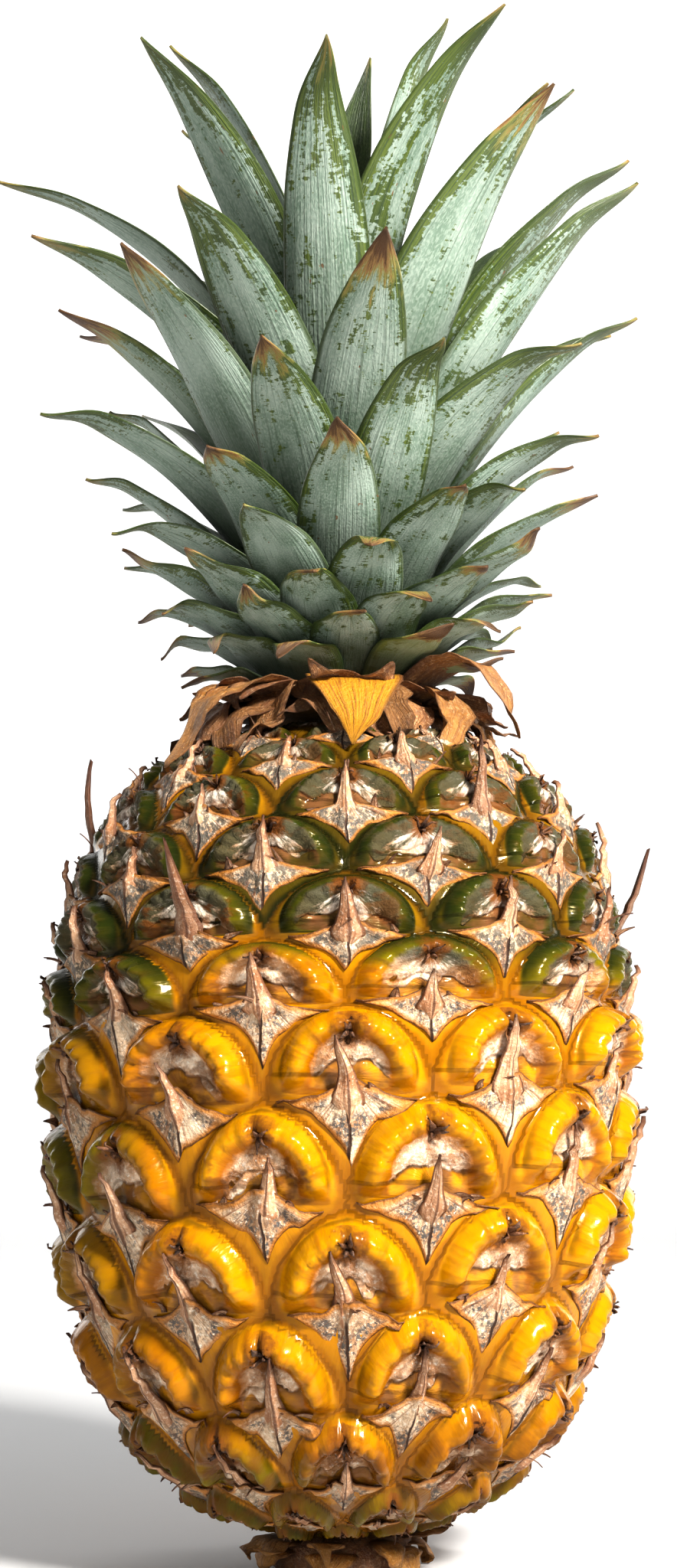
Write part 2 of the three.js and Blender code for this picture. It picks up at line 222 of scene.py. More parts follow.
def node(kind, inputs=(), tree=None, **settings):
    """A node in the given tree, or in the tree of the values that feed it."""
    inputs = dict(inputs)
    tree = tree or next(value.tree for value in inputs.values() if isinstance(value, Value))
    made = tree.nodes.new("ShaderNode" + kind)
    for key, value in settings.items():
        setattr(made, key, value)
    for key, value in inputs.items():
        plug(value, made.inputs[key])
    return made


def maths(operation, a, b=0.0):
    return Value(node("Math", {0: a, 1: b}, operation=operation).outputs[0])


def remap(value, low, high, to_high=1.0, to_low=0.0):
    """Eases a value from low..high to to_low..to_high."""
    inputs = {"Value": value, "From Min": low, "From Max": high, "To Min": to_low, "To Max": to_high}
    return Value(node("MapRange", inputs, interpolation_type="SMOOTHSTEP").outputs["Result"])


def painted(base, *layers):
    """A base colour with (share, colour) layers laid over it, one after another."""
    for share, colour in layers:
        mixed = node("Mix", {0: share}, data_type="RGBA", clamp_factor=True)
        plug(base, mixed.inputs[6])
        plug(colour, mixed.inputs[7])
        base = Value(mixed.outputs[2])
    return base


def colours(share, *stops):
    """A ramp through (place, colour) stops."""
    ramp = node("ValToRGB", {"Fac": share})
    while len(ramp.color_ramp.elements) < len(stops):
        ramp.color_ramp.elements.new(0.5)
    for element, (place, colour) in zip(ramp.color_ramp.elements, stops):
        element.position, element.color = place, (*colour, 1)
    return Value(ramp.outputs["Color"])


def speckle(vector, scale=1.0, detail=2.0, roughness=0.5):
    """Noise from 0 to 1 around 0.5, at that many lumps a metre or a unit."""
    inputs = {"Vector": vector, "Scale": scale, "Detail": detail, "Roughness": roughness}
    return Value(node("TexNoise", inputs).outputs[0])


def parts_of(vector):
    return [Value(part) for part in node("SeparateXYZ", {0: vector}).outputs]


def combined(x, y=0.0, z=0.0):
    return Value(node("CombineXYZ", {0: x, 1: y, 2: z}).outputs[0])


def length_of(vector):
    return Value(node("VectorMath", {0: vector}, operation="LENGTH").outputs["Value"])


def bumped(height, distance):
    """A normal that follows a height from 0 to 1, over that many millimetres."""
    return Value(node("Bump", {"Height": height, "Distance": distance * MM}).outputs[0])


def place_in(tree):
    return Value(node("TexCoord", tree=tree).outputs["Object"])


def attribute(tree, name):
    return Value(node("Attribute", tree=tree, attribute_name=name).outputs["Vector"])


def finish(name, draw, **fixed):
    """A material. draw(tree) gives the values of its Principled BSDF that change over the surface."""
    material = bpy.data.materials.new(name)
    material.use_nodes = True
    shader = material.node_tree.nodes["Principled BSDF"]
    for key, value in fixed.items():
        plug(value, shader.inputs[key.replace("_", " ").title().replace("Ior", "IOR")])
    for key, value in draw(material.node_tree).items():
        plug(value, shader.inputs[key])
    print("material", name)
    return material


def group(name, inputs, outputs, draw):
    """A node group. draw(ins) gives its outputs by name."""
    tree = bpy.data.node_groups.new(name, "ShaderNodeTree")
    for key, value in inputs.items():
        kind = "Vector" if value is None else "Color" if isinstance(value, tuple) else "Float"
        made = tree.interface.new_socket(key, in_out="INPUT", socket_type="NodeSocket" + kind)
        if value is not None:
            plug(value, made)
    for key, kind in outputs.items():
        tree.interface.new_socket(key, in_out="OUTPUT", socket_type="NodeSocket" + kind)
    ins, outs = tree.nodes.new("NodeGroupInput"), tree.nodes.new("NodeGroupOutput")
    for key, value in draw({key: Value(ins.outputs[key]) for key in inputs}).items():
        plug(value, outs.inputs[key])
    print("group", name)
    return tree


def grouped(shared, **inputs):
    """Places a node group in the tree of its inputs."""
    tree = next(value.tree for value in inputs.values() if isinstance(value, Value))
    made = tree.nodes.new("ShaderNodeGroup")
    made.node_tree = shared
    for key, value in inputs.items():
        plug(value, made.inputs[key])
    return {output.name: Value(output) for output in made.outputs if output.name}


print("shader tools ready")

# %% [markdown]
# ## The studio
# The camera stands close by, a little below the fruit's middle, and looks slightly up, so the crown
# leans away from it. One softbox from the upper right gives the arches their row of highlights, and
# a weaker one lifts the left side. Two stand behind the fruit, one lights the backdrop, and a pale
# world fills the rest.

# %% Camera, lights and floor
CAMERA_DISTANCE = 0.420
CAMERA_HEIGHT = 0.083
CAMERA_LEFT = 0.00044
CAMERA_TILT = 8.45  # degrees up
LENS_PER_HEIGHT = 2864 / 2048  # focal length over the sensor's height
SENSOR_HEIGHT = 24.0
STUDIO_AIM = (0, 0, 0.12)
FLOOR_FLAT, FLOOR_BEND, FLOOR_TOP = 1600, 1400, 3200  # mm: how far it is flat, the bend, the top
FLOOR_SIDES, FLOOR_DROP = 64, 0.2


def aim(thing, target):
    from_here = np.array(thing.location)
    thing.rotation_euler = Vector(np.array(target) - from_here).to_track_quat("-Z", "Y").to_euler()


def add_softbox(name, place, size, watts, colour=(1, 1, 1), target=STUDIO_AIM):
    light = bpy.data.lights.new(name, "AREA")
    light.shape = "DISK"
    light.size, light.energy, light.color = size, watts, colour
    box = bpy.data.objects.new(name, light)
    box.location = place
    bpy.context.scene.collection.objects.link(box)
    aim(box, target)


scene = bpy.context.scene
lens = bpy.data.cameras.new("camera")
lens.sensor_fit, lens.sensor_height, lens.lens = "VERTICAL", SENSOR_HEIGHT, LENS_PER_HEIGHT * SENSOR_HEIGHT
lens.clip_start = 0.01
camera = bpy.data.objects.new("camera", lens)
camera.location = (-CAMERA_LEFT, -CAMERA_DISTANCE, CAMERA_HEIGHT)
camera.rotation_euler = (np.radians(90 + CAMERA_TILT), 0, 0)
scene.collection.objects.link(camera)
bpy.context.scene.camera = camera

add_softbox("key", (0.42, -0.60, 0.55), 0.16, 20.0, (1, 0.97, 0.93))
add_softbox("fill", (-0.70, -0.75, 0.25), 0.8, 1.0, (0.96, 0.98, 1))
add_softbox("back_left", (-0.60, 0.60, 0.40), 0.5, 2.0)
add_softbox("back_right", (0.60, 0.60, 0.35), 0.5, 2.0)
add_softbox("backdrop", (0, 1.3, 2.0), 1.4, 62, target=(0, 3.0, 0.7))

scene.world = bpy.data.worlds.new("studio")
scene.world.use_nodes = True
plug((0.96, 0.97, 0.98), scene.world.node_tree.nodes["Background"].inputs["Color"])
plug(0.25, scene.world.node_tree.nodes["Background"].inputs["Strength"])
scene.view_settings.view_transform = "Standard"
scene.view_settings.gamma = 0.84

bend = np.linspace(0, TAU / 4, 12)
bend = np.stack([FLOOR_FLAT + FLOOR_BEND * np.sin(bend), FLOOR_BEND - FLOOR_BEND * np.cos(bend)], -1)
profile = np.array([(10, 0), (1400, 0), *bend, (FLOOR_FLAT + FLOOR_BEND, FLOOR_TOP)])
around = TAU / 2 - np.linspace(0, TAU, FLOOR_SIDES, endpoint=False)
points = round_axis(profile[:, :1], around, profile[:, 1:] - FLOOR_DROP)
faces = [sheet_faces(len(profile), FLOOR_SIDES, wrap=True)[:, ::-1], np.arange(FLOOR_SIDES)[None]]
grey = finish("floor", lambda tree: {}, base_color=(0.66, 0.66, 0.66), roughness=0.9)
floor = add_mesh("floor", points, faces, grey)
print("camera at", list(camera.location))

# %% [markdown]
# ## Where everything grows
# The body is a squared ellipse turned round the axis, and its eyes follow one helix. A place on the
# fruit is given by two numbers: turns, the angle counted in eyes, and rows, the height counted in rows
# of eyes along the skin. These are the same formulas that shaped the solids.

# %% The body and its rows
BODY_RADIUS, BODY_WAIST_Z, BODY_TOP_Z, BODY_BOTTOM_Z = 52.2, 98, 155, 7.5
BODY_SQUARENESS = 2.5
BODY_STEPS = 4000
EYES_PER_TURN = 11.5
FIRST_EYE, LAST_EYE = -48, 100
ROW_ZERO_Z, ROW_ZERO_ANGLE = 59, 1
ROW_PITCH_LOW, ROW_PITCH_HIGH = 17.6, 11.2
PITCH_CHANGE_Z = (84, 110)
FULL_SIZE_RADIUS = 40
SHRINK_POWER = 0.8
EYE_JITTER = 0.035
HALF_EYE = np.pi * BODY_RADIUS / EYES_PER_TURN  # half an eye's width at the waist


def body_outline():
    """Row number, radius, height and outward direction along the body's outline, from the bottom."""
    turn = np.pi * (np.arange(BODY_STEPS) / BODY_STEPS - 0.5)
    power = 2 / BODY_SQUARENESS
    across, up = np.cos(turn), np.sin(turn)
    half = np.where(up > 0, BODY_TOP_Z - BODY_WAIST_Z, BODY_WAIST_Z - BODY_BOTTOM_Z)
    radius = BODY_RADIUS * across**power
    z = BODY_WAIST_Z + np.sign(up) * half * np.abs(up) ** power
    step_r, step_z = np.diff(radius), np.diff(z)
    length = np.hypot(step_r, step_z)
    pitch = mix(ROW_PITCH_LOW, ROW_PITCH_HIGH, smooth(*PITCH_CHANGE_Z, z[1:]))
    shrink = np.minimum(1, np.maximum(3, radius[1:]) / FULL_SIZE_RADIUS) ** SHRINK_POWER
    row = np.cumsum(length / (pitch * shrink))
    row -= row[np.argmax(z[1:] >= ROW_ZERO_Z)]
    return row, radius[1:], z[1:], step_z / length, -step_r / length


OUTLINE = body_outline()


def body_at(rows):
    """Radius, height and outward direction of the bare body at some rows."""
    return [np.interp(rows, OUTLINE[0], values) for values in OUTLINE[1:]]


def on_body(turns, rows, out):
    """The points that stand so many millimetres out from the body at those turns and rows."""
    radius, z, out_r, out_z = body_at(rows)
    angle = np.radians(ROW_ZERO_ANGLE) + turns * TAU / EYES_PER_TURN
    return round_axis(radius + out * out_r, angle, z + out * out_z)


def eye_size(rows):
    return np.minimum(1, body_at(rows)[0] / FULL_SIZE_RADIUS)


print("rows from %.1f to %.1f" % (OUTLINE[0][0], OUTLINE[0][-1]))

# %% [markdown]
# ## The flesh
# Each eye is one fruitlet. Its flower has dried up into a papery disc, and fat, glossy flesh arches
# over it like a horseshoe, crimped where it is pinched. Under the disc two small lips of the old flower
# bulge, and everything outside the arch slopes down to the groove that the eyes share. So one height
# formula in the eye's own millimetres, x to the right and y up, says it all. Where several eyes reach a
# place, the highest wins, which makes the creases between fruitlets by itself.

# %% One eye's relief
DOME_Y, DOME_HEIGHT, DOME_POWER = -7.9, 16.5, 2.3
DOME_HALF_WIDTH = 1.02 * HALF_EYE
ARCH_Y, ARCH_HALF_WIDTH, ARCH_HEIGHT = -5.8, 9.0, 10.0
ARCH_HALF_THICKNESS, ARCH_PLUMP = 3.0, 2.5
CRIMPS, CRIMP_DEPTH = 10, 0.48
LEGS_Y = -8.4, -4.4  # where the arch's legs run out
DISC_HEIGHT, GROOVE_SLOPE = 1.3, 1.5
FLORET_Y = 2.4
SHOULDER_Z = 98, 124  # where the arches flatten
FOLD_Y, FOLD_SLOPE = -2.2, 0.36
EYE_LOW_Y, EYE_HIGH_Y = -27, 11
NO_FLESH = -9.0  # the height where an eye doesn't reach


def eye_relief(x, y, k):
    """Height over the body at places in eye k's own millimetres, and what its finish is painted by."""
    ahead = np.maximum(y - DOME_Y, 0)
    reach = (np.abs(x) / DOME_HALF_WIDTH) ** DOME_POWER + (ahead / DOME_HEIGHT) ** DOME_POWER
    rim = (1 - reach ** (1 / DOME_POWER)) * DOME_HALF_WIDTH
    below = np.maximum(DOME_Y - y, 0)

    # The crest of the arch, as an ellipse on two straight legs.
    dx = x / (ARCH_HALF_WIDTH * (1 + 0.06 * chance(k, 11)))
    dy = np.maximum(y - ARCH_Y, 0) / (ARCH_HEIGHT * (1 + 0.05 * chance(k, 12)))
    from_crest = (np.hypot(dx, dy) - 1) * ARCH_HALF_WIDTH
    spoke = np.arctan2(y - ARCH_Y, x)
    notch_x = x - 0.6 * chance(k, 13) + 0.25 * (y - FLORET_Y)
    notch = bell(notch_x, 0.6) * smooth(-1, 1, y - FLORET_Y)
    legs = smooth(*LEGS_Y, y)
    shoulder = smooth(*SHOULDER_Z, body_at(k / EYES_PER_TURN)[1])
    plump = (ARCH_PLUMP + 0.3 * chance(k, 14)) * mix(1.1, 0.42, shoulder)
    crest = np.maximum(0, 1 - (from_crest / ARCH_HALF_THICKNESS) ** 2) ** 1.15
    crest = plump * crest * legs * (1 - 0.6 * notch)
    pinches = 1 - 2 * np.abs(np.sin(spoke * CRIMPS + 1.2 * np.sin(spoke * 3 + k))) ** 0.7
    crimp = pinches * bell(from_crest + 0.6, 1.7)
    crest = crest - (CRIMP_DEPTH + 0.16 * chance(k, 17)) * crimp * legs

    # Inside the arch: the disc, the fold under it, the two lips and the pit of the dried flower.
    disc = DISC_HEIGHT + 0.9 * smooth(8, 1, np.hypot(x, y + 1.5))
    fold_y = FOLD_Y - (FOLD_SLOPE + 0.12 * np.sign(x) * chance(k, 18)) * np.abs(x) + 0.5 * np.sin(x * 1.1 + k)
    fold = bell(y - fold_y, 0.35) * smooth(9.0, 6.5, np.abs(x))
    lips = np.maximum(0, 1 - ((np.abs(x) - 4.7) / 3.1) ** 2 - ((y - fold_y + 2.3) / 1.7) ** 2)
    pit = bell(np.hypot(x, (y - FLORET_Y) / 1.5), 1)
    streaks = 0.15 * np.sin(18 * np.arctan2(x, y - FLORET_Y - 1.5) + 3 * chance(k, 15))
    under_fold = smooth(0.3, -0.3, y - fold_y)
    inside = disc - 0.7 * under_fold + streaks + 0.6 * np.sqrt(lips) - 0.6 * fold - 1.4 * pit
    inside = np.maximum(0.25, inside)

    # Outside it: a plump band that rounds off into the groove, and the seat of the bract.
    band = 0.1 + 1.4 * smooth(-0.5, 4.5, rim)
    seat = 0.1 + 1.5 * (1 - np.minimum(1, np.abs(x) / HALF_EYE) ** 1.5) * (1 - below / 18.5)
    shape = mix(inside, band, smooth(-1.5, 0.5, from_crest)) + crest
    height = mix(shape, seat, smooth(DOME_Y + 1.5, DOME_Y - 1.5, y))
    height = np.where(rim < 0, rim * GROOVE_SLOPE, height)
    from_crest = np.maximum(from_crest, mix(-9, 4.5, smooth(DOME_Y + 0.5, DOME_Y - 1.0, y)))
    return {"height": height, "crest": from_crest, "spoke": spoke, "over": y - fold_y}


def skin_at(turns, rows):
    """The flesh's height, and the eye that owns each place with its own x and y there."""
    turn_low = np.floor(rows - turns / EYES_PER_TURN)
    best, second = {"height": np.full(turns.shape, NO_FLESH)}, np.full(turns.shape, NO_FLESH)
    for step in (-1, 0, 1, 2):
        unrolled = turns + EYES_PER_TURN * (turn_low + step)
        for k in (np.floor(unrolled), np.floor(unrolled) + 1):
            x = (2 * (unrolled - k) - EYE_JITTER * chance(k, 1)) * HALF_EYE
            y = (rows - k / EYES_PER_TURN - EYE_JITTER * chance(k, 2)) * ROW_PITCH_LOW
            near = (np.abs(x) < HALF_EYE * 1.1) & (y > EYE_LOW_Y) & (y < EYE_HIGH_Y)
            found = {**eye_relief(x, np.maximum(y, EYE_LOW_Y), k), "x": x, "y": y, "k": k}
            height = found["height"] = np.where(near, found["height"] * (1 + 0.12 * chance(k, 3)), NO_FLESH)
            wins = height > best["height"]
            second = np.where(wins, best["height"], np.maximum(second, height))
            best = {key: np.where(wins, value, best.get(key, 0)) for key, value in found.items()}
    best["lead"] = best["height"] - second
    best["height"] = np.maximum(best["height"], 0) * eye_size(rows)
    return best


probe = skin_at(np.array([0.0, 0.5]), np.array([0.3, 0.0]))
print("flesh on eye 0: %.2f mm at its crest, %.2f mm in the groove beside it" % tuple(probe["height"]))

# %% [markdown]
# ### The finish of the flesh
# Ripening runs up the fruit as a gradient: amber at the foot, golden in the middle and still green on
# the shoulder, with one eye ahead of the next. The left side is held back as well, partly as its own
# greener colour and partly as painted shade on the side away from the key light. Such a field is wanted
# by the flesh and by the bracts alike, so it is a group. Dry plant skin is a second group: pale fibres,
# granules and freckles, used wherever the plant has turned to paper.

# %% Group: ripeness
GREEN, OLIVE = (0.036, 0.044, 0.004), (0.170, 0.130, 0.003)
AMBER, GOLD = (0.39, 0.148, 0.0004), (0.52, 0.243, 0.0003)


def draw_ripeness(ins):
    x, _, z = parts_of(ins["Place"])
    wander = (speckle(ins["Place"], 26.0) - 0.5) * 0.03
    shoulder = remap(z + wander, 0.115, 0.092)
    foot = remap(z + wander, 0.008, 0.040, 1.0, 0.3)
    # The left side is held back: partly its own greener colour, partly painted shade away from the key light.
    side = remap(x + wander, -0.050, -0.008, 1.0, 0.45)
    ripe = shoulder * foot * side + ins["Ahead"]
    colour = colours(ripe, (0.0, GREEN), (0.35, OLIVE), (0.62, AMBER), (0.95, GOLD))
    return {"Colour": colour, "Ripe": ripe}


ripeness = group("ripeness", {"Place": None, "Ahead": 0.0}, {"Colour": "Color", "Ripe": "Float"},
                 draw_ripeness)

# %% Group: dry plant skin
def draw_paper(ins):
    place = ins["Place"]
    granules = speckle(place, 1500.0, 3.0, 0.65)
    blotches = speckle(place, 170.0, 4.0, 0.6)
    freckles = remap(speckle(place, 1250.0, 3.0, 0.7), 0.46, 0.56)
    colour = painted(
        ins["Colour"],
        (remap(blotches, 0.35, 0.68), ins["Stain"]),
        (remap(granules, 0.52, 0.68, 0.75), ins["Pale"]),
        (remap(granules, 0.46, 0.34, 0.45), ins["Stain"]),
        (freckles * (ins["Freckles"] * remap(blotches, 0.36, 0.52)), ins["Freckle"]))
    return {"Colour": colour, "Height": granules * 0.9 + blotches * 0.5}


paper = group("dry plant skin",
              {"Place": None, "Colour": (0.60, 0.33, 0.17), "Stain": (0.36, 0.15, 0.05),
               "Pale": (0.80, 0.62, 0.46), "Freckle": (0.13, 0.11, 0.10), "Freckles": 0.6},
              {"Colour": "Color", "Height": "Float"}, draw_paper)


def dry_skin(place, freckles, colour, stain, pale, **more):
    return grouped(paper, Place=place, Freckles=freckles, Colour=colour, Stain=stain, Pale=pale, **more)

# %% Material: flesh with its papery disc
def draw_flesh(tree):
    place = place_in(tree)
    x, y, seed = parts_of(attribute(tree, "eye_place"))
    crest, spoke, over = parts_of(attribute(tree, "eye_shape"))
    height_mm, lead, _ = parts_of(attribute(tree, "eye_height"))
    z = parts_of(place)[2]
    wobble = (speckle(place, 420.0, 3.0) - 0.5) * 1.8
    wide_wobble = (speckle(place, 130.0) - 0.5) * 3.0
    edge = crest + wobble + wide_wobble
    on_disc = remap(edge - remap(z, 0.095, 0.120) * 2.6, -1.9, -2.9)
    sides = (speckle(combined(x * 0.13, seed * 9.0)) - 0.47) * 16.0
    over_fold = maths("MAXIMUM", remap(over, -0.5, 0.1), remap(over + (sides + wobble * 0.3), -0.5, 0.1))
    outside = remap(crest, 2.4, 3.3)

    # The flesh: each eye ripens a little before or after the others, and the band round its arch first.
    ripe = grouped(ripeness, Place=place, Ahead=seed * 0.16 + outside * 0.38)
    ripe, ripe_colour = ripe["Ripe"], ripe["Colour"]
    unripe = remap(ripe, 0.55, 0.15)
    streaky = speckle(combined(spoke * 9.0, crest * 0.25, seed), 1.0, 3.0)
    amber = painted((0.095, 0.080, 0.010), (remap(ripe, 0.2, 0.8), (0.300, 0.090, 0.002)))
    ochre = painted((0.040, 0.036, 0.002), (remap(ripe, 0.2, 0.8), (0.66, 0.295, 0.0006)))
    dark_rim = remap(crest + wobble, -0.5, 2.6, 0.85) * unripe * remap(crest, 3.6, 2.8, 1.0, 0.3)
    # A dark line along the arch's outer crease: painted shade in the crease.
    arch_crease_shade = remap(abs(crest + (wobble * 0.5 - 2.8)), 0.8, 0.05)
    arch_crease_shade = arch_crease_shade * remap(speckle(place, 110.0), 0.36, 0.6, 0.8, 0.1)
    arch_crease_shade = arch_crease_shade * (remap(y, -7.4, -5.0) * remap(lead, 0.3, 0.8))
    arch_crease_shade_colour = painted((0.010, 0.013, 0.002), (remap(ripe, 0.3, 0.8), (0.150, 0.070, 0.002)))
    flesh = painted(
        ripe_colour,
        (remap(streaky, 0.45, 0.75, 0.5), amber),
        (remap(crest + wobble, -0.4, -2.4, 0.85), amber),
        (remap(y + wide_wobble, -4.0, -8.0, 0.6), amber),
        (outside * 0.7, ochre), (dark_rim, (0.011, 0.017, 0.003)), (arch_crease_shade, arch_crease_shade_colour))

    # The disc: papery, with rays from the dried flower, and the pocket under its fold.
    away = length_of(combined(x, y - FLORET_Y))
    turn = maths("ARCTAN2", x, y - FLORET_Y)
    rays = speckle(combined(turn * 5.0, away * 0.2, seed), 1.0, 4.0, 0.7)
    dry = dry_skin(place, 0.2, (0.84, 0.68, 0.52), (0.55, 0.31, 0.16), (0.95, 0.90, 0.80))
    chalk = painted((0.80, 0.74, 0.66), (remap(rays, 0.35, 0.6), (0.46, 0.40, 0.32)))
    disc_rim = remap(edge + (rays - 0.5) * 12.0, -5.4, -2.4, 0.95, 0.05)
    disc = painted(
        dry["Colour"],
        (remap(rays, 0.53, 0.72, 0.7), (0.30, 0.12, 0.04)),
        (remap(edge, -3.9, -2.5, 0.6), (0.42, 0.17, 0.03)),
        (remap(away, 9.0, 4.0, 0.8) * unripe, chalk),
        (disc_rim * unripe, (0.050, 0.050, 0.026)))
    mottled = remap(speckle(place, 260.0), 0.3, 0.7, 0.9, 0.15)
    pocket = painted(ochre, (mottled, (0.22, 0.095, 0.040)))
    # Darker just under the fold: painted shade under its overhang.
    pocket = painted(pocket, (remap(over, -1.0, -0.1, 0.7), (0.085, 0.030, 0.010)))
    # A dark line along the fold itself: painted shade in its crease.
    fold_line_shade = remap(abs(over + 0.25), 0.5, 0.1) * remap(crest, 0.5, -1.0)

    # Age: low eyes are scorched and stained, and a ragged stain surrounds each dried flower.
    low_down = remap(z, 0.050, 0.020, 0.75)
    burnt = maths("MAXIMUM", remap(seed, -0.2, 1.0, 0.9), low_down)
    stained = remap(speckle(place, 190.0, 3.0), 0.4, 0.6, 0.85, 0.1)
    scorched = speckle(combined(x * 0.2, y * 0.26, seed), 1.0, 3.0, 0.6) + low_down * 0.09
    scorched = remap(scorched, 0.5, 0.62) * remap(crest, 2.6, -1.0)
    smudge = speckle(place, 380.0, 4.0, 0.7) - 0.5 + remap(crest, 2.0, 2.9, 2.0)
    ragged = length_of(combined(x + wide_wobble, (y - (FLORET_Y + 0.4)) * 0.5)) + (smudge * 7.0 + seed * 0.5)
    # Where two eyes meet, the seam is darkened: painted shade in the groove between them.
    seam_shade_colour = painted((0.012, 0.015, 0.002), (remap(ripe, 0.25, 0.75), (0.270, 0.100, 0.001)))
    colour = painted(
        flesh,
        (on_disc, painted(pocket, (over_fold, disc))),
        (fold_line_shade * 0.42, (0.12, 0.04, 0.01)),
        # Painted shade: the flesh darkens where it is low, in the grooves and hollows.
        (remap(height_mm + wobble * 0.3, 1.5, 0.2, 0.6), (0.085, 0.038, 0.005)),
        (low_down * stained, (0.13, 0.050, 0.006)),
        (scorched * (burnt * 0.6 + 0.25), (0.13, 0.040, 0.006)),
        (remap(ragged, 3.4, 0.8, 0.85), (0.17, 0.055, 0.010)),
        (remap(ragged, 0.9, 0.2, 0.95), (0.030, 0.010, 0.004)),
        (remap(lead + wobble * 0.25, 0.65, 0.15, 0.92), seam_shade_colour))

    dry_share = on_disc * over_fold
    height = dry["Height"] * dry_share + (streaky * 0.5 + speckle(place, 1500.0) * 0.06)
    rough = dry_share * 0.4 + remap(streaky, 0.3, 0.8, 0.34, 0.18)
    wax = (1.0 - dry_share) * remap(ripe, 0.1, 0.7, 0.26, 0.08)
    return {"Base Color": colour, "Roughness": rough, "Coat Weight": wax, "Normal": bumped(height, 0.35)}


flesh_finish = finish("glossy_flesh", draw_flesh, coat_roughness=0.06, specular_ior_level=0.15,
                      specular_tint=(1, 0.8, 0.4))

# %% Build the flesh as two sheets that meet at a row
COLUMNS_PER_EYE, STEPS_PER_ROW = 44, 22
FLESH_ROWS = (-5.7, 2.0, 9.9)
LUMPS = (9, 5, 0.35), (3.5, 6, 0.10)  # the size, seed and height of the body's uneven swelling


def grow_flesh(name, low, high):
    columns = round(COLUMNS_PER_EYE * EYES_PER_TURN)
    steps = round(STEPS_PER_ROW * (high - low))
    rows, turns = np.meshgrid(np.linspace(low, high, steps + 1),
                              np.arange(columns) / COLUMNS_PER_EYE, indexing="ij")
    skin = skin_at(turns, rows)
    swelling = sum(noise(on_body(turns, rows, 0), size, seed) * tall for size, seed, tall in LUMPS)
    points = on_body(turns, rows, skin["height"] + swelling * eye_size(rows))
    faces = sheet_faces(steps + 1, columns, wrap=True)
    return add_piece(name, points, [faces], flesh_finish, "rind", ["fruit"],
                     eye_place=vectors(skin["x"], skin["y"], chance(skin["k"], 16)),
                     eye_shape=vectors(skin["crest"], skin["spoke"], skin["over"]),
                     eye_height=vectors(skin["height"], skin["lead"]))


tell(grow_flesh("flesh_lower", *FLESH_ROWS[:2]))
tell(grow_flesh("flesh_upper", *FLESH_ROWS[1:]))

# %% [markdown]
# ## Bracts and spines
# Under each eye sits its bract, a dry scale shaped like a star with three arms: two run along the
# groove and one hangs down between the next two eyes. Its middle rises into a spine that folds up over
# the disc. A scale is a sheet laid on the flesh: its upper and lower edges are curves over x, and the
# sheet is lifted a little along its ribs and along its free upper edge.

# %% Materials for bract and spine
def draw_bract(tree):
    place = place_in(tree)
    x, y, seed = parts_of(attribute(tree, "scale_place"))
    from_edge = parts_of(attribute(tree, "scale_edge"))[0] + (speckle(place, 600.0, 3.0) - 0.5) * 1.1
    ripe = grouped(ripeness, Place=place, Ahead=0.0)["Ripe"]
    dry = dry_skin(place, remap(abs(x) + y * -0.8, 8.0, 12.0), (0.74, 0.57, 0.395), (0.36, 0.19, 0.085),
                   (0.92, 0.85, 0.73), Freckle=(0.115, 0.105, 0.095))
    wander = (speckle(place, 160.0, 3.0) - 0.5) * 2.2
    crack = remap(abs(x + wander), 0.34, 0.1) * remap(y, -8.0, -10.5)
    fibres = speckle(combined(maths("ARCTAN2", x, y + 7.0) * 11.0, 0.0, seed), 1.0, 4.0, 0.7)
    grains = remap(speckle(place, 800.0, 3.0, 0.7), 0.44, 0.56)
    greyed = remap(ripe, 0.8, 0.0, 0.85) * remap(y, -6.0, -10.5, 1.0, 0.25)
    arms = remap(abs(x), 4.5, 9.5, 0.7) * remap(fibres, 0.62, 0.42, 1.0, 0.35)
    colour = painted(
        dry["Colour"],
        (remap(fibres, 0.5, 0.64, 0.75), (0.22, 0.08, 0.026)),
        (greyed * grains, (0.105, 0.090, 0.066)),
        (arms, (0.66, 0.32, 0.075)),
        (remap(from_edge, 1.7, 0.4, 0.85), (0.46, 0.175, 0.010)),
        # A thin dark line along the edges: partly the bract's own brown rim, partly painted shade under its
        # lifted edge.
        (remap(from_edge, 0.45, 0.05, 0.8), (0.085, 0.028, 0.006)),
        (crack, (0.050, 0.018, 0.007)))
    return {"Base Color": colour, "Normal": bumped(dry["Height"] + fibres * 0.8 - crack, 0.45)}


def draw_spine(tree):
    across, length, dark = parts_of(attribute(tree, "spine_place"))
    fibres = speckle(combined(across * 4.0, length * 1.6, dark), 1.0, 4.0, 0.6)
    dry = dry_skin(place_in(tree), 0.1, (0.64, 0.40, 0.24), (0.40, 0.185, 0.08), (0.88, 0.70, 0.54))
    # The hems darken: partly the spine's own brown edge, partly painted shade where its sides fold down to
    # the flesh.
    hem_brown_and_shade = abs(across) + (fibres - 0.5) * 0.5
    valley = abs(across + dark * -0.3 - 0.05)
    colour = painted(
        dry["Colour"],
        (remap(fibres, 0.5, 0.66, 0.65), (0.24, 0.09, 0.03)),
        (remap(hem_brown_and_shade, 0.68, 0.95, 0.85), (0.130, 0.042, 0.012)),
        (remap(valley, 0.16, 0.04, 0.85), (0.100, 0.035, 0.012)),
        (remap(length, 0.72, 1.0, 0.75) + dark, (0.085, 0.028, 0.010)))
    return {"Base Color": colour, "Normal": bumped(fibres + dry["Height"], 0.35)}


bract_finish = finish("papery_bract", draw_bract, roughness=0.62)
spine_finish = finish("dry_spine", draw_spine, roughness=0.55)

# %% Lay a scale under every eye
SCALE_HALF_WIDTH, SCALE_WIDTH_CHANCE = 11.2, 0.14
SCALE_LOW_Y, SCALE_HIGH_Y = -10.2, -8.5
SCALE_COLUMNS, SCALE_ROWS = 25, 11
SCALE_THICKNESS = 0.25
EYES = np.arange(FIRST_EYE, LAST_EYE + 1)


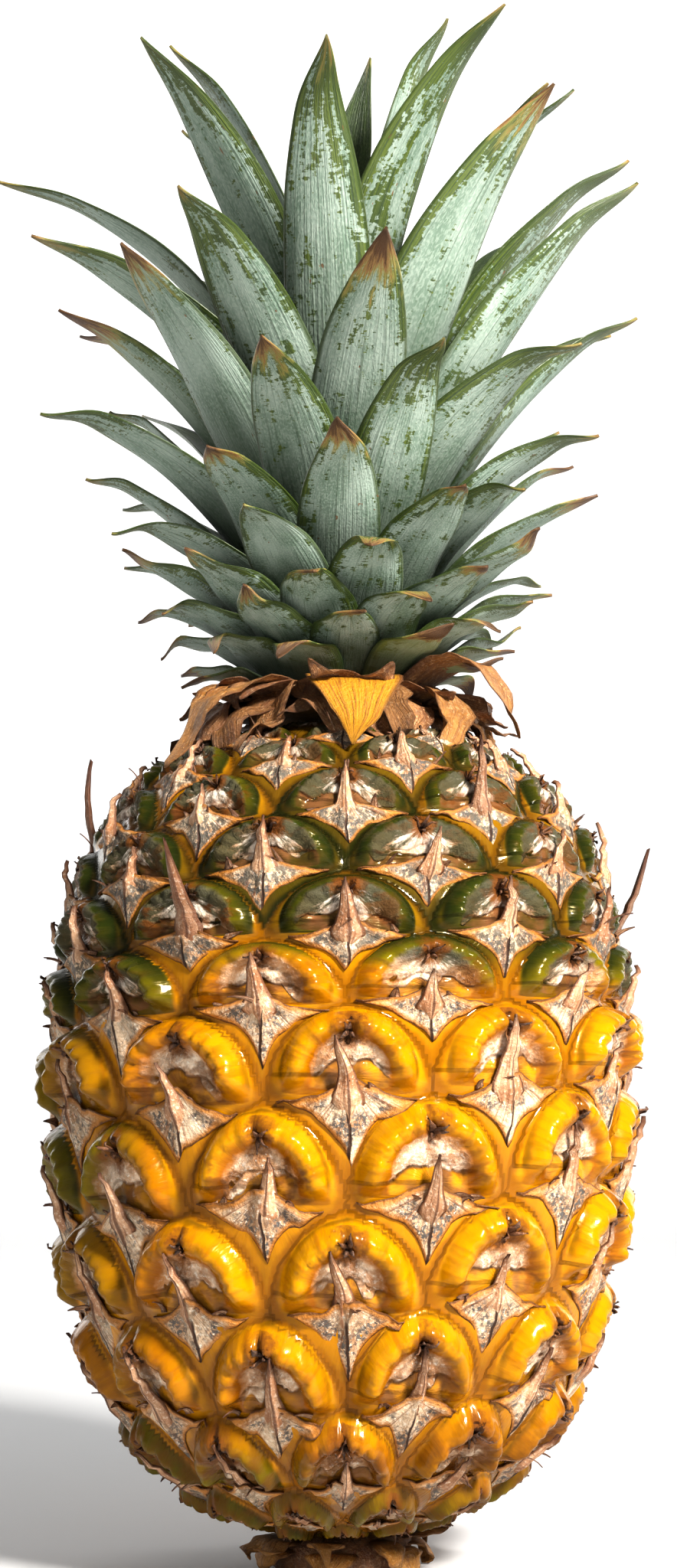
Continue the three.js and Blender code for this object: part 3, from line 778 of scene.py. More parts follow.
def flesh_under(k, x, y):
    """Turns, rows and the flesh's height at places in eye k's own millimetres."""
    turns = k + (x / HALF_EYE + EYE_JITTER * chance(k, 1)) / 2
    rows = k / EYES_PER_TURN + y / ROW_PITCH_LOW + EYE_JITTER * chance(k, 2)
    return turns, rows, skin_at(turns % EYES_PER_TURN, rows)["height"]


k, u, v, faces = many_sheets(EYES, np.linspace(-1, 1, SCALE_COLUMNS), np.linspace(0, 1, SCALE_ROWS))
spread = SCALE_HALF_WIDTH * (1 + SCALE_WIDTH_CHANCE * chance(k, 20 + np.sign(u)))
x = spread * np.sign(u) * np.abs(u) ** 1.25
ragged = 0.9 * noise(vectors(x, k * 7.0), 2.2, 21)
reach = np.abs(x) / SCALE_HALF_WIDTH
hanging_arm = (6.2 + 2 * chance(k, 22)) * np.exp(-np.abs(x - 1.1 * chance(k, 28)) / 1.8)
low_edge = SCALE_LOW_Y - 4.2 * (1 - reach) - hanging_arm + ragged
high_edge = SCALE_HIGH_Y - 0.9 * reach**2 + 2.6 * bell(x, 3.6) + 0.6 * ragged + 0.10 * x * chance(k, 23)
taper = 1 - np.abs(u) ** 6
middle = np.minimum((low_edge + high_edge) / 2, high_edge)
low_edge, high_edge = mix(middle, np.minimum(low_edge, high_edge - 0.2), taper), mix(middle, high_edge, taper)
y = mix(low_edge, high_edge, v)
turns, rows, under = flesh_under(k, x, y)
rib = 0.8 * bell(x, 1.4) * smooth(-20, -11, y)
arm = 0.45 * bell(high_edge - y - 1.3, 0.9) * smooth(0, 5, np.abs(x))
free = 0.7 * v**4 * (1 + 0.6 * chance(k, 24)) * (1 - 0.6 * np.abs(u))
folds = 0.22 * np.sin(9 * np.arctan2(x, y + 7) + 4 * chance(k, 25)) * smooth(0, 0.35, v) * smooth(1, 0.7, v)
crinkle = 0.22 * noise(vectors(x, y, k * 9.0), 1.8, 26)
lift = mix(0.08, 0.34, smooth(0, 0.25, v)) + rib + arm + free + (folds + crinkle) * smooth(0, 0.2, v)
points = on_body(turns, rows, under + lift * eye_size(rows))
add_thin_sheets("bract_scales", points, faces[:, ::-1], bract_finish, SCALE_THICKNESS,
                scale_place=vectors(x, y, chance(k, 27)),
                scale_edge=vectors(np.minimum(y - low_edge, high_edge - y)))

# %% Raise a spine from every scale
SPINE_ROOT_Y, SPINE_TIP_Y, SPINE_TOP_Y = -13.6, 1.4, 3.0
SPINE_STATIONS, SPINE_CHORDS = 14, 8
SPINE_HALF = [[0, 0.4], [0.12, 1.7], [0.25, 2.9], [0.4, 2.0], [0.6, 1.25], [0.8, 0.8], [1, 0.1]]
SPINE_KEEL = [[0, 0.8], [0.25, 1.6], [0.5, 2.2], [0.8, 2.1], [1, 1.6]]
LONG_SPINES = 0.80  # a spine whose chance is over this is long and stands away
SPINE_SWAY, SPINE_STRETCH = 0.16, 0.25
SPINE_THICKNESS = 0.3

k, s, across, faces = many_strips(EYES, SPINE_STATIONS, SPINE_CHORDS)
long_one = smooth(LONG_SPINES, LONG_SPINES + 0.1, chance(k, 31))
long_one = long_one * smooth(30, 45, body_at(k / EYES_PER_TURN)[0])
stretch = 1 + SPINE_STRETCH * chance(k, 5) + 0.5 * long_one
half = along(SPINE_HALF, s) * (1 + 0.15 * chance(k, 32))
sway = SPINE_SWAY * HALF_EYE * chance(k, 4)
curl = 1.6 * chance(k, 33) * smooth(0.5, 1, s)
x = across * half + sway * s + curl
y = SPINE_ROOT_Y + (SPINE_TIP_Y - SPINE_ROOT_Y) * stretch * s
keel = along(SPINE_KEEL, s) * (1 + 0.3 * chance(k, 34))
stand = keel + (1.2 + 5.0 * long_one) * s**2 * stretch
fold_down = (1.9 + 0.4 * chance(k, 35)) * np.abs(across) ** 1.2 * mix(1, 0.35, s)
pleat = 0.28 * np.sin(across * 7 + 3 * chance(k, 36) + s * 3) * (1 - s)
_, _, under = flesh_under(k, x, np.minimum(y, SPINE_TOP_Y))
seat = under[:, :, SPINE_CHORDS // 2][:, :, None]
turns, rows, _ = flesh_under(k, x, y)
points = on_body(turns, rows, (np.minimum(seat, 2.4) + stand - fold_down + pleat) * eye_size(rows))
dark = 0.5 * long_one + 0.25 * np.maximum(0, chance(k, 37))
add_thin_sheets("bract_spines", points, faces, spine_finish, SPINE_THICKNESS,
                spine_place=vectors(across, s, dark))

# %% [markdown]
# ### The dried flowers
# At the top of each disc the flower's own petals have shrivelled into a small dark tuft. Four narrow
# curled petals an eye are enough to catch the light as the real ones do.

# %% Tufts of dried petals
PETALS_PER_FLOWER = 4
PETAL_STATIONS, PETAL_CHORDS = 4, 2
PETAL_LENGTH, PETAL_HALF_WIDTH, PETAL_THICKNESS = 2.1, 0.5, 0.2


def draw_petal(tree):
    dry = dry_skin(place_in(tree), 0.3, (0.16, 0.065, 0.025), (0.045, 0.018, 0.008), (0.34, 0.17, 0.08))
    return {"Base Color": dry["Colour"], "Normal": bumped(dry["Height"], 0.3)}


petal_finish = finish("dried_petal", draw_petal, roughness=0.6)
petals = np.arange(len(EYES) * PETALS_PER_FLOWER)
petal, s, across, faces = many_strips(petals, PETAL_STATIONS, PETAL_CHORDS)
k = FIRST_EYE + petal // PETALS_PER_FLOWER
spin = TAU * (petal % PETALS_PER_FLOWER + 0.5 * chance(petal, 41)) / PETALS_PER_FLOWER + 0.6
length = PETAL_LENGTH * (1 + 0.4 * chance(petal, 42)) * s
side = PETAL_HALF_WIDTH * across * (1 - s) ** 0.6
x = np.sin(spin) * length + np.cos(spin) * side
y = FLORET_Y + np.cos(spin) * length - np.sin(spin) * side
turns, rows, under = flesh_under(k, x, y)
stand = 0.25 + 1.1 * np.sin(s * 2.2) * (1 + 0.5 * chance(petal, 43)) - 0.3 * across**2
points = on_body(turns, rows, under + stand * eye_size(rows))
add_thin_sheets("dried_flowers", points, faces, petal_finish, PETAL_THICKNESS)

# %% [markdown]
# ### Shreds of the bracts
# Dry bracts fray. Thin strips lift off their upper edges and curl away from the fruit, so the fruit's
# outline is never clean.

# %% Fray the bracts
SHREDS_PER_BRACT = 3
SHRED_STATIONS, SHRED_CHORDS = 7, 2
SHRED_START_Y, SHRED_SPREAD, SHRED_THICKNESS = -8.9, 8.5, 0.2
SHRED_LEAST_WIDTH = 0.08  # of the width at its root

shreds = np.arange(len(EYES) * SHREDS_PER_BRACT)
shred, s, across, faces = many_strips(shreds, SHRED_STATIONS, SHRED_CHORDS)
k = FIRST_EYE + shred // SHREDS_PER_BRACT
length = (2.2 + 1.2 * chance(shred, 71)) * mix(0.8, 1.7, smooth(0.4, 0.9, chance(shred, 72)))
lean, start = 1.3 * chance(shred, 73), SHRED_SPREAD * chance(shred, 74)
narrow = (0.8 + 0.35 * chance(shred, 75)) * np.maximum(SHRED_LEAST_WIDTH, (1 - s) ** 0.7)
curled = s * (1.2 + 0.9 * chance(shred, 76))
x = start + length * s * np.sin(lean) + across * narrow * np.cos(lean)
y = SHRED_START_Y + length * np.sin(curled) * 0.9 * np.cos(lean) - across * narrow * np.sin(lean)
_, _, under = flesh_under(k, start, SHRED_START_Y)
turns, rows, _ = flesh_under(k, x, y)
stand = 0.2 + length * (1 - np.cos(curled)) * 1.1 + 0.4 * across * narrow * chance(shred, 77)
points = on_body(turns, rows, (under + stand) * eye_size(rows))
add_thin_sheets("bract_shreds", points, faces, spine_finish, SHRED_THICKNESS,
                spine_place=vectors(across, s, 0.35 + 0.3 * chance(shred, 78)))

# %% [markdown]
# ## The crown
# Leaves leave the stem at the golden angle, each turned 137.5 degrees from the one before. Every leaf
# is a blade: its middle line is a curve in a plane through the axis, and across it the blade is part of
# a cup round the axis. The solids have a few flat faces a leaf. Here the same blade gets many, a thin
# margin instead of a square one, a slight wave along its edges and a tip that dries to a curled point.

# %% How leaves change up the stem
LEAF_COUNT, WITHERED_LEAVES, BASAL_LEAVES = 106, 14, 37
LEAF_DIVERGENCE, FIRST_LEAF_ANGLE = 137.508, 164.3
LEAF_SPAN, CHANNEL_RADIUS = 25, 14
STEM_BOTTOM_Z, STEM_SPLIT_Z, STEM_TOP_Z = 157.5, 161.2, 234
STEM_BOTTOM_RADIUS, STEM_TOP_RADIUS = 16, 2.2
CLEARANCE, LEAF_THICKNESS, LEAF_BEND = 0.35, 1.1, 0.55
ROOT_Z = [[0, 158.2], [0.125, 160.2], [0.133, 162.2], [0.42, 168.5], [0.6, 176.5], [0.8, 190], [0.93, 208],
          [1, 228]]
TIP_Z = [[0, 158], [0.125, 160], [0.14, 165], [0.42, 184], [0.6, 205], [0.8, 243], [0.9, 276], [0.96, 293],
         [1, 292]]
TIP_RADIUS = [[0, 30], [0.16, 32], [0.42, 42], [0.6, 50], [0.8, 60], [0.88, 58], [0.95, 40], [1, 10]]
ROOT_SLOPE = [[0, 25], [0.125, 25], [0.14, 44], [0.42, 49], [0.6, 56], [0.8, 66], [0.93, 78], [1, 87]]
LEAF_WIDTH = [[0, 14], [0.16, 13], [0.42, 16], [0.6, 17], [0.85, 20], [1, 12]]
BLADE_OUTLINE = [[0, 0.86], [0.3, 1], [0.6, 0.85], [0.82, 0.5], [0.94, 0.2], [1, 0.02]]
# How some tips stray from the even spiral: leaf: (degrees turned, millimetres out, millimetres up).
STRAYS = {54: (0, 0, 2), 56: (-9, 0, -3), 57: (0, 3, 4), 59: (4, 0, 4), 61: (0, 0, 6), 62: (-7, 0, -7),
          64: (6, 0, -6), 65: (0, -4, 6), 67: (1, 0, 8), 69: (0, 7, 1), 70: (0, -2, -4), 72: (0, 0, -2),
          73: (0, -2, 4), 74: (0, -10, 2), 75: (11, 0, -1), 77: (3, 0, 11), 78: (0, 0, 11), 80: (3, 0, 0),
          82: (0, -4, 0), 83: (10, 0, 19), 86: (0, -1, -3), 87: (0, -2, -5), 88: (14, 0, 12), 90: (0, 6, -17),
          91: (0, -3, 5), 93: (3, 0, 0), 95: (0, 15, -6), 96: (6, 0, -7), 98: (2, 13, -10), 99: (0, 2, 1),
          101: (31, 10, -3), 103: (0, 12, 0), 104: (-15, 8, 4), 105: (-60, 0, 7)}


def stem_radius(z):
    return mix(STEM_BOTTOM_RADIUS, STEM_TOP_RADIUS, (z - STEM_BOTTOM_Z) / (STEM_TOP_Z - STEM_BOTTOM_Z))


def plan_of(i, angle, root, control, tip, width, turned=0.0):
    """Where blade i runs: its angle, the three [radius, z] points of its middle line, width and twist."""
    return {"i": i, "angle": angle, "turned": turned, "root": np.array(root, float),
            "control": np.array(control, float), "tip": np.array(tip, float), "width": width}


def leaf_plan(i, wild=0.0):
    """The plan of leaf i on the spiral, with some of the order gone where it is wild."""
    share = i / (LEAF_COUNT - 1)
    slope = np.radians(along(ROOT_SLOPE, share) + 14 * wild * chance(i, 6))
    root_z = along(ROOT_Z, share)
    root = np.array([stem_radius(root_z) + CLEARANCE + LEAF_THICKNESS / 2, root_z])
    turned, out, up = STRAYS.get(i, (0, 0, 0))
    tip = np.array([along(TIP_RADIUS, share) + out + 3 * wild * chance(i, 7),
                    along(TIP_Z, share) + up + 3 * wild * chance(i, 8)])
    bend = LEAF_BEND * np.hypot(*(tip - root))
    control = root + bend * np.array([np.cos(slope), np.sin(slope)])
    angle = FIRST_LEAF_ANGLE + LEAF_DIVERGENCE * i
    return plan_of(i, angle, root, control, tip, along(LEAF_WIDTH, share), turned)


print("leaf 60 ends at", leaf_plan(60)["tip"])

# %% A blade's fine surface
JUST_OVER = 1e-6  # an angle just past nothing, so that a blade's two margins have a side


def blade(plan, stations, chords, thickness=LEAF_THICKNESS, outline=BLADE_OUTLINE, wave=0.3, hook=(0, 0),
          sunk=0.0):
    """Points of a closed blade as rings, and for each its place: across, along and which face."""
    i, root, control, tip = plan["i"], plan["root"], plan["control"], plan["tip"]
    t = (1 - (1 - np.linspace(0, 1, stations + 1)) ** 1.25)[:, None]
    radius, z = [(1 - t) ** 2 * root[n] + 2 * t * (1 - t) * control[n] + t * t * tip[n] for n in (0, 1)]
    way_r, way_z = [(1 - t) * (control[n] - root[n]) + t * (tip[n] - control[n]) for n in (0, 1)]
    speed = np.hypot(way_r, way_z)
    out_r, out_z = way_z / speed, -way_r / speed
    wrap = np.radians(LEAF_SPAN) * radius * (1 + 0.6 * t)
    wide = np.minimum(plan["width"] / 2 * np.maximum(0, along(outline, t)), wrap)
    curl = smooth(0, 0.3, t) * np.maximum(0, 1 / CHANNEL_RADIUS - 1 / radius)
    u = np.cos(np.linspace(0, TAU, 2 * chords, endpoint=False))[None]
    face = np.sign(np.sin(np.linspace(JUST_OVER, TAU + JUST_OVER, 2 * chords, endpoint=False)))[None]
    thick = thickness * mix(1, 0.55, t) / 2 * np.sqrt(np.maximum(0, 1 - u**4))
    across = u * wide
    waved = wave * np.sin(t * 13 + chance(i, 51) * 3 + np.sign(u)) * u**2
    waved = waved * smooth(0.15, 0.5, t) * smooth(1, 0.8, t)
    bent = smooth(0.80, 1.0, t) ** 1.5
    off = face * thick - across**2 / 2 * curl + waved + hook[1] * bent
    turn = np.radians(plan["angle"] + plan["turned"] * t) + (across + hook[0] * bent) / radius
    reach, z, place = radius + off * out_r, z + off * out_z, vectors(u, t, face)
    if sunk:  # one more ring, deeper in the stem
        reach = np.concatenate([reach[:1] - sunk, reach])
        turn, z, place = [np.concatenate([rings[:1], rings]) for rings in (turn, z, place)]
    return round_axis(reach, turn, z), place


def blade_faces(points):
    """Faces of the closed blade: its sides, and its two ends closed across."""
    rings, around = points.shape[:2]
    n = np.arange(around // 2)
    root = np.stack([n, n + 1, (around - n - 1) % around, (around - n) % around], -1)
    ends = np.concatenate([root, root[:, ::-1] + (rings - 1) * around])
    square = np.array([len(set(face)) == 4 for face in ends.tolist()])
    pointed = [list(dict.fromkeys(face)) for face in ends[~square].tolist()]
    return [sheet_faces(rings, around, wrap=True)[:, ::-1], ends[square], np.array(pointed)]


print("a blade of", blade(leaf_plan(60), 8, 6)[0].shape[:2], "points")

# %% [markdown]
# ### The finish of a leaf
# Outside, a pineapple leaf is coated in silvery scurf, minute scales set in rows along it. Where leaves
# have rubbed against each other the scurf is gone and dark green shows; along one side of each leaf,
# and more on some leaves, the same dark green is partly rubbing and partly painted shade. Inside it is a
# deeper yellow-green. Margins are thin and dark, and tips dry from yellow through orange to brown.
# Towards its base a leaf is darkened with painted shade, where the leaves overlap. The group works in
# the blade's own coordinates, across, along and face, so that its streaks follow the leaf however it
# bends.

# %% Group: leaf skin
STREAK_ACROSS, STREAK_ALONG = 9.0, 110.0  # half a leaf's width and its length, in units of about a millimetre


def draw_leaf_skin(ins):
    across, length, face = parts_of(ins["Blade"])
    seed = ins["Seed"]
    u, v = across * STREAK_ACROSS, length * STREAK_ALONG

    def streaks(wide, long, *look):
        return speckle(combined(u * wide, v * long, seed), 1.0, *look)

    veins, scales = streaks(2.2, 0.03, 3.0), streaks(2.4, 0.9)
    clouds, patches = streaks(0.22, 0.05, 3.0), streaks(0.42, 0.085, 5.0, 0.62)
    edge = abs(across)
    scurf = painted(
        (0.350, 0.430, 0.365),
        (remap(clouds, 0.3, 0.7), (0.185, 0.265, 0.198)),
        (remap(scales, 0.44, 0.62, 0.35), (0.52, 0.59, 0.51)),
        (remap(veins, 0.56, 0.72, 0.55), (0.060, 0.100, 0.055)))
    green = painted((0.028, 0.054, 0.003), (remap(veins, 0.35, 0.7), (0.115, 0.155, 0.007)))
    worn_and_shaded = patches + (streaks(0.55, 1.1, 3.0, 0.6) - 0.5) * 0.55 + remap(edge, 0.6, 1.0, 0.08)
    # One side of each leaf gets more dark green: partly rubbing, partly painted shade on its shaded side.
    worn_and_shaded = worn_and_shaded + remap(across * maths("SIGN", seed), 0.35, 1.0, 0.17) + remap(length, 0.62, 1.0, 0.24)
    limit = 0.7 - ins["Rubbed"] * 0.15
    rubbed_and_shaded = remap(worn_and_shaded, limit, limit + 0.05)
    inner = painted(
        (0.046, 0.082, 0.011),
        (remap(clouds, 0.3, 0.7), (0.016, 0.034, 0.007)),
        (remap(scales, 0.45, 0.7, 0.22), (0.22, 0.28, 0.13)))

    # Drying: yellow, then orange-brown, then dark at the very tip, and a few dead spots.
    dryness = length + (patches - 0.5) * 0.45 + ins["Dry"]
    spots = speckle(combined(u * 0.9, v * 0.25, seed + 7.0))
    colour = painted(
        inner,
        (remap(face, -0.2, 0.2), painted(scurf, (rubbed_and_shaded * 0.9, green))),
        (remap(ins["Dry"], 0.1, 0.28, 0.6), (0.30, 0.32, 0.07)),
        (remap(edge, 0.87, 0.96, 0.85), (0.040, 0.065, 0.008)),
        (remap(dryness, 0.9, 0.97, 0.8), (0.33, 0.29, 0.085)),
        (remap(dryness, 0.95, 1.0, 0.9), (0.30, 0.165, 0.06)),
        (remap(dryness, 0.995, 1.05, 0.85), (0.10, 0.045, 0.02)),
        (remap(spots, 0.735, 0.765, 0.85), (0.20, 0.085, 0.03)),
        # Painted shade: darker towards the base, where the leaves overlap.
        (remap(length, 0.6, 0.2, 0.82), (0.020, 0.038, 0.014)))
    return {"Colour": colour, "Roughness": 0.56 - rubbed_and_shaded * 0.18, "Height": veins * 0.9 + scales * 0.35}


leaf_skin = group("leaf skin", {"Blade": None, "Seed": 0.0, "Rubbed": 0.5, "Dry": 0.0},
                  {"Colour": "Color", "Roughness": "Float", "Height": "Float"}, draw_leaf_skin)

# %% Material: green leaves
def draw_leaf(tree):
    seed, rubbed_and_shaded, dry = parts_of(attribute(tree, "blade_self"))
    skin = grouped(leaf_skin, Blade=attribute(tree, "blade_place"), Seed=seed, Rubbed=rubbed_and_shaded, Dry=dry)
    return {"Base Color": skin["Colour"], "Roughness": skin["Roughness"],
            "Normal": bumped(skin["Height"], 0.35)}


leaf_finish = finish("leaf_scurf", draw_leaf)

# %% Grow the large leaves, each over its own solid
LARGE_STATIONS, LARGE_CHORDS = 44, 16
LEAF_SEEDS = 40.0
# How rubbed each leaf is; on some leaves a high value also stands for painted shade.
RUBBED_AND_SHADED = {17: 0.8, 20: 0.9, 22: 0.4, 25: 0.7, 28: 0.9, 30: 0.5, 33: 1.1, 35: 0.7, 36: 0.9, 41: 1.2, 43: 0.75,
          51: 1.2, 54: 0.5}
DRY_TIPS = {4: 0.06, 7: 0.1, 9: 0.1, 14: 0.1, 15: 0.1, 22: 0.05, 27: 0.07, 30: 0.11, 32: 0.14, 37: 0.1,
            38: 0.05}
HOOKS = {46: (-4.5, 3), 49: (-6, 3.5)}  # tips that bend aside, in millimetres along and away


def same_for(points, *values):
    """The same three values at every point."""
    return np.tile(values, (points[..., 0].size, 1))


def leaf_own(i, points, rubbed_and_shaded, dry):
    """What a leaf's finish is told about it: its seed, how rubbed and shaded, and how dry it is."""
    return same_for(points, LEAF_SEEDS * chance(i, 61), rubbed_and_shaded, dry)


def grow_leaf(number):
    i = WITHERED_LEAVES + BASAL_LEAVES + number - 1
    hook = HOOKS.get(number, (2.0 * chance(i, 52), 1.5 + 1.5 * chance(i, 53)))
    points, place = blade(leaf_plan(i), LARGE_STATIONS, LARGE_CHORDS, hook=hook)
    rubbed_and_shaded = RUBBED_AND_SHADED.get(number, 0.3 + 0.3 * chance(i, 62))
    dry = DRY_TIPS.get(number, -0.03 + 0.03 * chance(i, 63))
    return add_piece(f"crown_leaf_{number:02d}", points, blade_faces(points), leaf_finish, "crown_leaf",
                     [f"leaf_{number:02d}"], blade_place=place, blade_self=leaf_own(i, points, rubbed_and_shaded, dry))


large_leaves = [grow_leaf(number + 1) for number in range(LEAF_COUNT - WITHERED_LEAVES - BASAL_LEAVES)]
print(len(large_leaves), "leaves, each like this one:")
tell(large_leaves[0])

# %% [markdown]
# ### The stem and its small leaves
# The short leaves at the foot of the crown stand out almost level. They grow on the stem in one piece
# with it, so they and the stem are one mesh, as their solid is.

# %% Grow the stem and the small leaves
SMALL_STATIONS, SMALL_CHORDS = 26, 12
STEM_RINGS, STEM_AROUND = 8, 40
ROOT_SUNK = 3


def add_blades(name, parts, finish, slot, replaced):
    """One piece from several parts, which are (points, faces, place, own) each."""
    start, faces = 0, []
    for points, groups, _, _ in parts:
        faces += [group + start for group in groups]
        start += points[..., 0].size
    points, places, owns = [np.concatenate([part[n].reshape(-1, 3) for part in parts]) for n in (0, 2, 3)]
    tell(add_piece(name, points, faces, finish, slot, [replaced], blade_place=places, blade_self=owns))


def small_leaf(i):
    hook = (3.5 * chance(i, 52), 0.5 + 3.5 * chance(i, 53))
    points, place = blade(leaf_plan(i), SMALL_STATIONS, SMALL_CHORDS, hook=hook, wave=0.5, sunk=ROOT_SUNK)
    to_the_right = smooth(0.5, 1, np.cos(np.radians(FIRST_LEAF_ANGLE + LEAF_DIVERGENCE * i - 45)))
    dry = 0.05 + 0.05 * chance(i, 63) + 0.10 * smooth(30, 14, i) + 0.14 * to_the_right * smooth(34, 20, i)
    return points, blade_faces(points), place, leaf_own(i, points, 0.6, dry)


def stem_part(low, high):
    """A length of the stem, with its ends closed on the axis."""
    z = np.linspace(low, high, STEM_RINGS)[:, None]
    angle = np.linspace(0, TAU, STEM_AROUND, endpoint=False)[None]
    points = round_axis(stem_radius(z) * (1 + 0.03 * np.sin(9 * angle + z)), angle, z)
    bottom, top = [np.full((1, STEM_AROUND, 3), (0, 0, end)) for end in (low, high)]
    points = np.concatenate([bottom, points, top])
    faces = sheet_faces(*points.shape[:2], wrap=True)
    return points, [faces], same_for(points, 0.3, 0.2, -1.0), leaf_own(0, points, 0.5, 0.0)


parts = [small_leaf(i) for i in range(WITHERED_LEAVES, WITHERED_LEAVES + BASAL_LEAVES)]
parts = [stem_part(STEM_SPLIT_Z + CLEARANCE, STEM_TOP_Z), *parts]
add_blades("crown_stem_and_small_leaves", parts, leaf_finish, "crown_leaf", "crown_stem")

# %% [markdown]
# ## The withered collar
# The lowest leaves have died. They are tan to dark brown, crumpled and curled, and one at the front has
# stayed orange-yellow. They are blades too, but crumpled with noise that grows towards their tips.

# %% Material: withered leaves
def draw_withered(tree):
    across, length, _ = parts_of(attribute(tree, "blade_place"))
    seed, gold, dark = parts_of(attribute(tree, "blade_self"))
    fibres = speckle(combined(across * STREAK_ACROSS * 1.6, length * 3.0, seed), 1.0, 4.0, 0.6)
    dry = dry_skin(place_in(tree), 0.3, (0.45, 0.22, 0.080), (0.20, 0.07, 0.018), (0.72, 0.47, 0.26))
    golden = painted((0.50, 0.235, 0.004), (remap(fibres, 0.45, 0.7), (0.26, 0.095, 0.004)))
    colour = painted(
        dry["Colour"],
        (remap(fibres, 0.47, 0.68, 0.7), (0.13, 0.045, 0.015)),
        (gold, golden),
        (dark, (0.070, 0.028, 0.012)),
        (remap(abs(across), 0.8, 1.0, 0.7), (0.100, 0.035, 0.010)),
        # Painted shade: darker towards the root, under what covers it; golden leaves get less.
        (remap(length, 0.45, 0.1, 0.85) - gold, (0.035, 0.013, 0.006)))
    return {"Base Color": colour, "Normal": bumped(fibres + dry["Height"], 0.5)}


withered_finish = finish("withered_leaf", draw_withered, roughness=0.6)

# %% Crumple the collar
SKIRT_LEAVES = 25  # leaves that have bent over and hang on the shoulder
CURLS = 14  # narrow curled ends between them
SKIRT_OUTLINE = [[0, 0.6], [0.4, 0.95], [0.6, 1], [0.85, 0.6], [1, 0.05]]
GOLDEN_OUTLINE = [[0, 0.5], [0.35, 0.9], [0.5, 1], [0.7, 0.68], [1, 0.03]]
GOLDEN_FRONT = plan_of(260, 5, (15, 158), (31, 168), (34.5, 146.5), 18)
TAN_LEFT = plan_of(261, -40, (15, 159), (33, 168), (41.5, 143), 15, -6)
TAN_RIGHT = plan_of(262, 60, (15, 161), (32, 176), (35.5, 151), 15, 8)


def dead_leaf(plan, stations=20, chords=10, crumple=1.8, golden=0.0, dark=0.0, thickness=0.7, **form):
    """A dried blade: crumpled, with its share of gold and of darkness for the finish."""
    i = plan["i"]
    hook = (3 * chance(i, 52), 3 * chance(i, 53))
    points, place = blade(plan, stations, chords, thickness, hook=hook, **form)
    shift = np.stack([noise(points, 7, i + n) + 0.6 * noise(points, 3, i + 5 + n) for n in (0, 1, 2)], -1)
    points = points + shift * place[..., 1:2] ** 0.8 * crumple
    return points, blade_faces(points), place, leaf_own(i, points, golden, dark)


def skirt_leaf(n):
    """A leaf that rises from the stem, bends over and hangs down on the fruit."""
    i = 200 + n
    angle = (n + 0.3 * chance(i, 1)) * 360 / SKIRT_LEAVES
    over = (24 + 4 * chance(i, 2), 164 + 4 * chance(i, 3))
    tip = (32 + 3 * chance(i, 4), 147 + 2 * chance(i, 5))
    plan = plan_of(i, angle, (14.5, 158), over, tip, 10.5 + 3.5 * chance(i, 6), 22 * chance(i, 7))
    return dead_leaf(plan, dark=0.28 + 0.28 * chance(i, 8), golden=0.10 + 0.20 * chance(i, 9), crumple=3.0,
                     outline=SKIRT_OUTLINE)


def curl(n):
    """A narrow dark strip that comes out under the crown and curls up or down."""
    i = 240 + n
    plan = plan_of(i, (n + 0.4 * chance(i, 1)) * 360 / CURLS, (13.5, 160), (23, 163 + 4 * chance(i, 4)),
                   (30 + 5 * chance(i, 2), 156 + 6 * chance(i, 3)), 4.5 + 2 * chance(i, 7), 30 * chance(i, 6))
    return dead_leaf(plan, 16, 6, crumple=2.0, dark=0.3 + 0.3 * chance(i, 64), thickness=0.6)


parts = [stem_part(STEM_BOTTOM_Z, STEM_SPLIT_Z)]
parts += [dead_leaf(leaf_plan(i, wild=1.0), sunk=ROOT_SUNK, dark=0.2 * max(0, chance(i, 64)))
          for i in range(WITHERED_LEAVES)]
parts += [skirt_leaf(n) for n in range(SKIRT_LEAVES)] + [curl(n) for n in range(CURLS)]
parts += [dead_leaf(GOLDEN_FRONT, crumple=0.5, golden=0.95, outline=GOLDEN_OUTLINE),
          dead_leaf(TAN_LEFT, golden=0.25), dead_leaf(TAN_RIGHT, golden=0.2)]
add_blades("withered_collar_leaves", parts, withered_finish, "withered_leaf", "withered_collar")

# %% [markdown]
# ## The stalk
# The stub of the stalk is woody, with a ring of dry pointed bracts that spread to the floor round it.
# They are blades again, on two curves: some hug the stub and some flare out under the fruit.

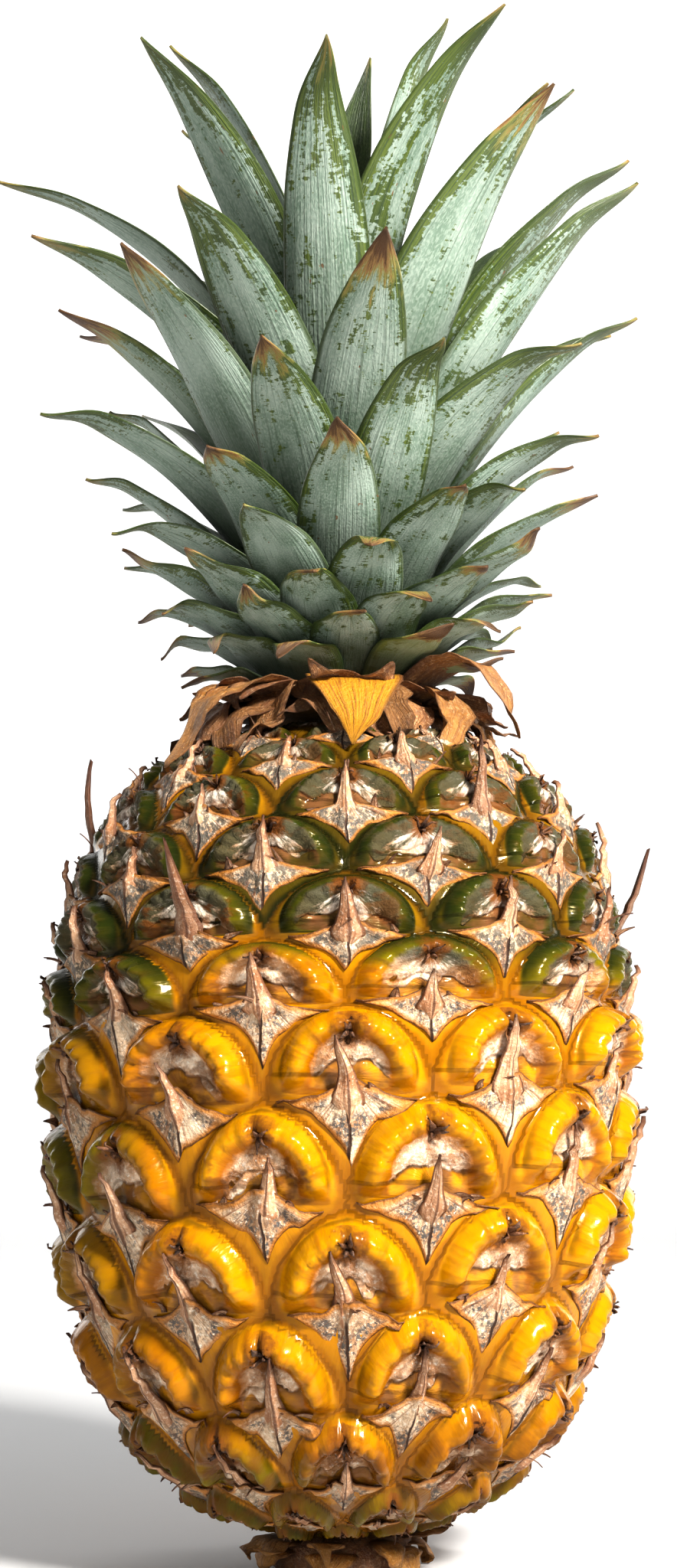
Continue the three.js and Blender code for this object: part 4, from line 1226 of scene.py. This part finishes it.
# %% Cut the stalk and flare its bracts
STALK_RADIUS, STALK_AROUND = 12.5, 48
STALK_TOP = BODY_BOTTOM_Z - CLEARANCE
FLOOR_GAP = 0.1
HUGGING_BRACTS, HUGGING_WIDTH, HUGGING_RADIUS = 7, 10, 16.5
FLARED_BRACTS, FLARED_WIDTH, FLARED_RADIUS, FLARED_FIRST = 9, 6.5, 19, 20


def stalk_part():
    profile = np.array([[0, FLOOR_GAP], [STALK_RADIUS - 0.6, FLOOR_GAP], [STALK_RADIUS, 0.6],
                        [STALK_RADIUS, STALK_TOP - 2], [STALK_RADIUS * 0.6, STALK_TOP], [0, STALK_TOP]])
    angle = np.linspace(0, TAU, STALK_AROUND, endpoint=False)[None]
    points = round_axis(profile[:, :1] * (1 + 0.035 * np.sin(17 * angle)), angle, profile[:, 1:])
    faces = sheet_faces(len(profile), STALK_AROUND, wrap=True)
    return points, [faces], same_for(points, 0.2, 0.3, 1.0), same_for(points, 3.0, 0.0, 0.1)


def stalk_bract(i, count, loose, twist, *plan):
    """A dry bract of the stalk, one of a ring of that many, held over the floor."""
    plan = plan_of(i, (i + loose * chance(i, 9)) * 360 / count, *plan, twist * chance(i, 10))
    points, *rest = dead_leaf(plan, 16, 8, crumple=1.4, golden=0.45, sunk=2, thickness=0.9)
    points[..., 2] = np.maximum(points[..., 2], FLOOR_GAP)
    return points, *rest


hugging = [stalk_bract(i, HUGGING_BRACTS, 0.2, 6, (STALK_RADIUS, STALK_TOP - 3),
                       (HUGGING_RADIUS, STALK_TOP - 2.6), (HUGGING_RADIUS, 0.2), HUGGING_WIDTH)
           for i in range(HUGGING_BRACTS)]
flared = [stalk_bract(i, FLARED_BRACTS, 0.3, 12, (STALK_RADIUS, STALK_TOP - 1.5), (16, STALK_TOP - 1),
                      (FLARED_RADIUS + 2 * chance(i, 11), 4 + 2.5 * chance(i, 12)), FLARED_WIDTH)
          for i in range(FLARED_FIRST, FLARED_FIRST + FLARED_BRACTS)]
parts = [stalk_part(), *hugging, *flared]
add_blades("stalk_and_its_bracts", parts, withered_finish, "dry_stalk", "cut_stalk")
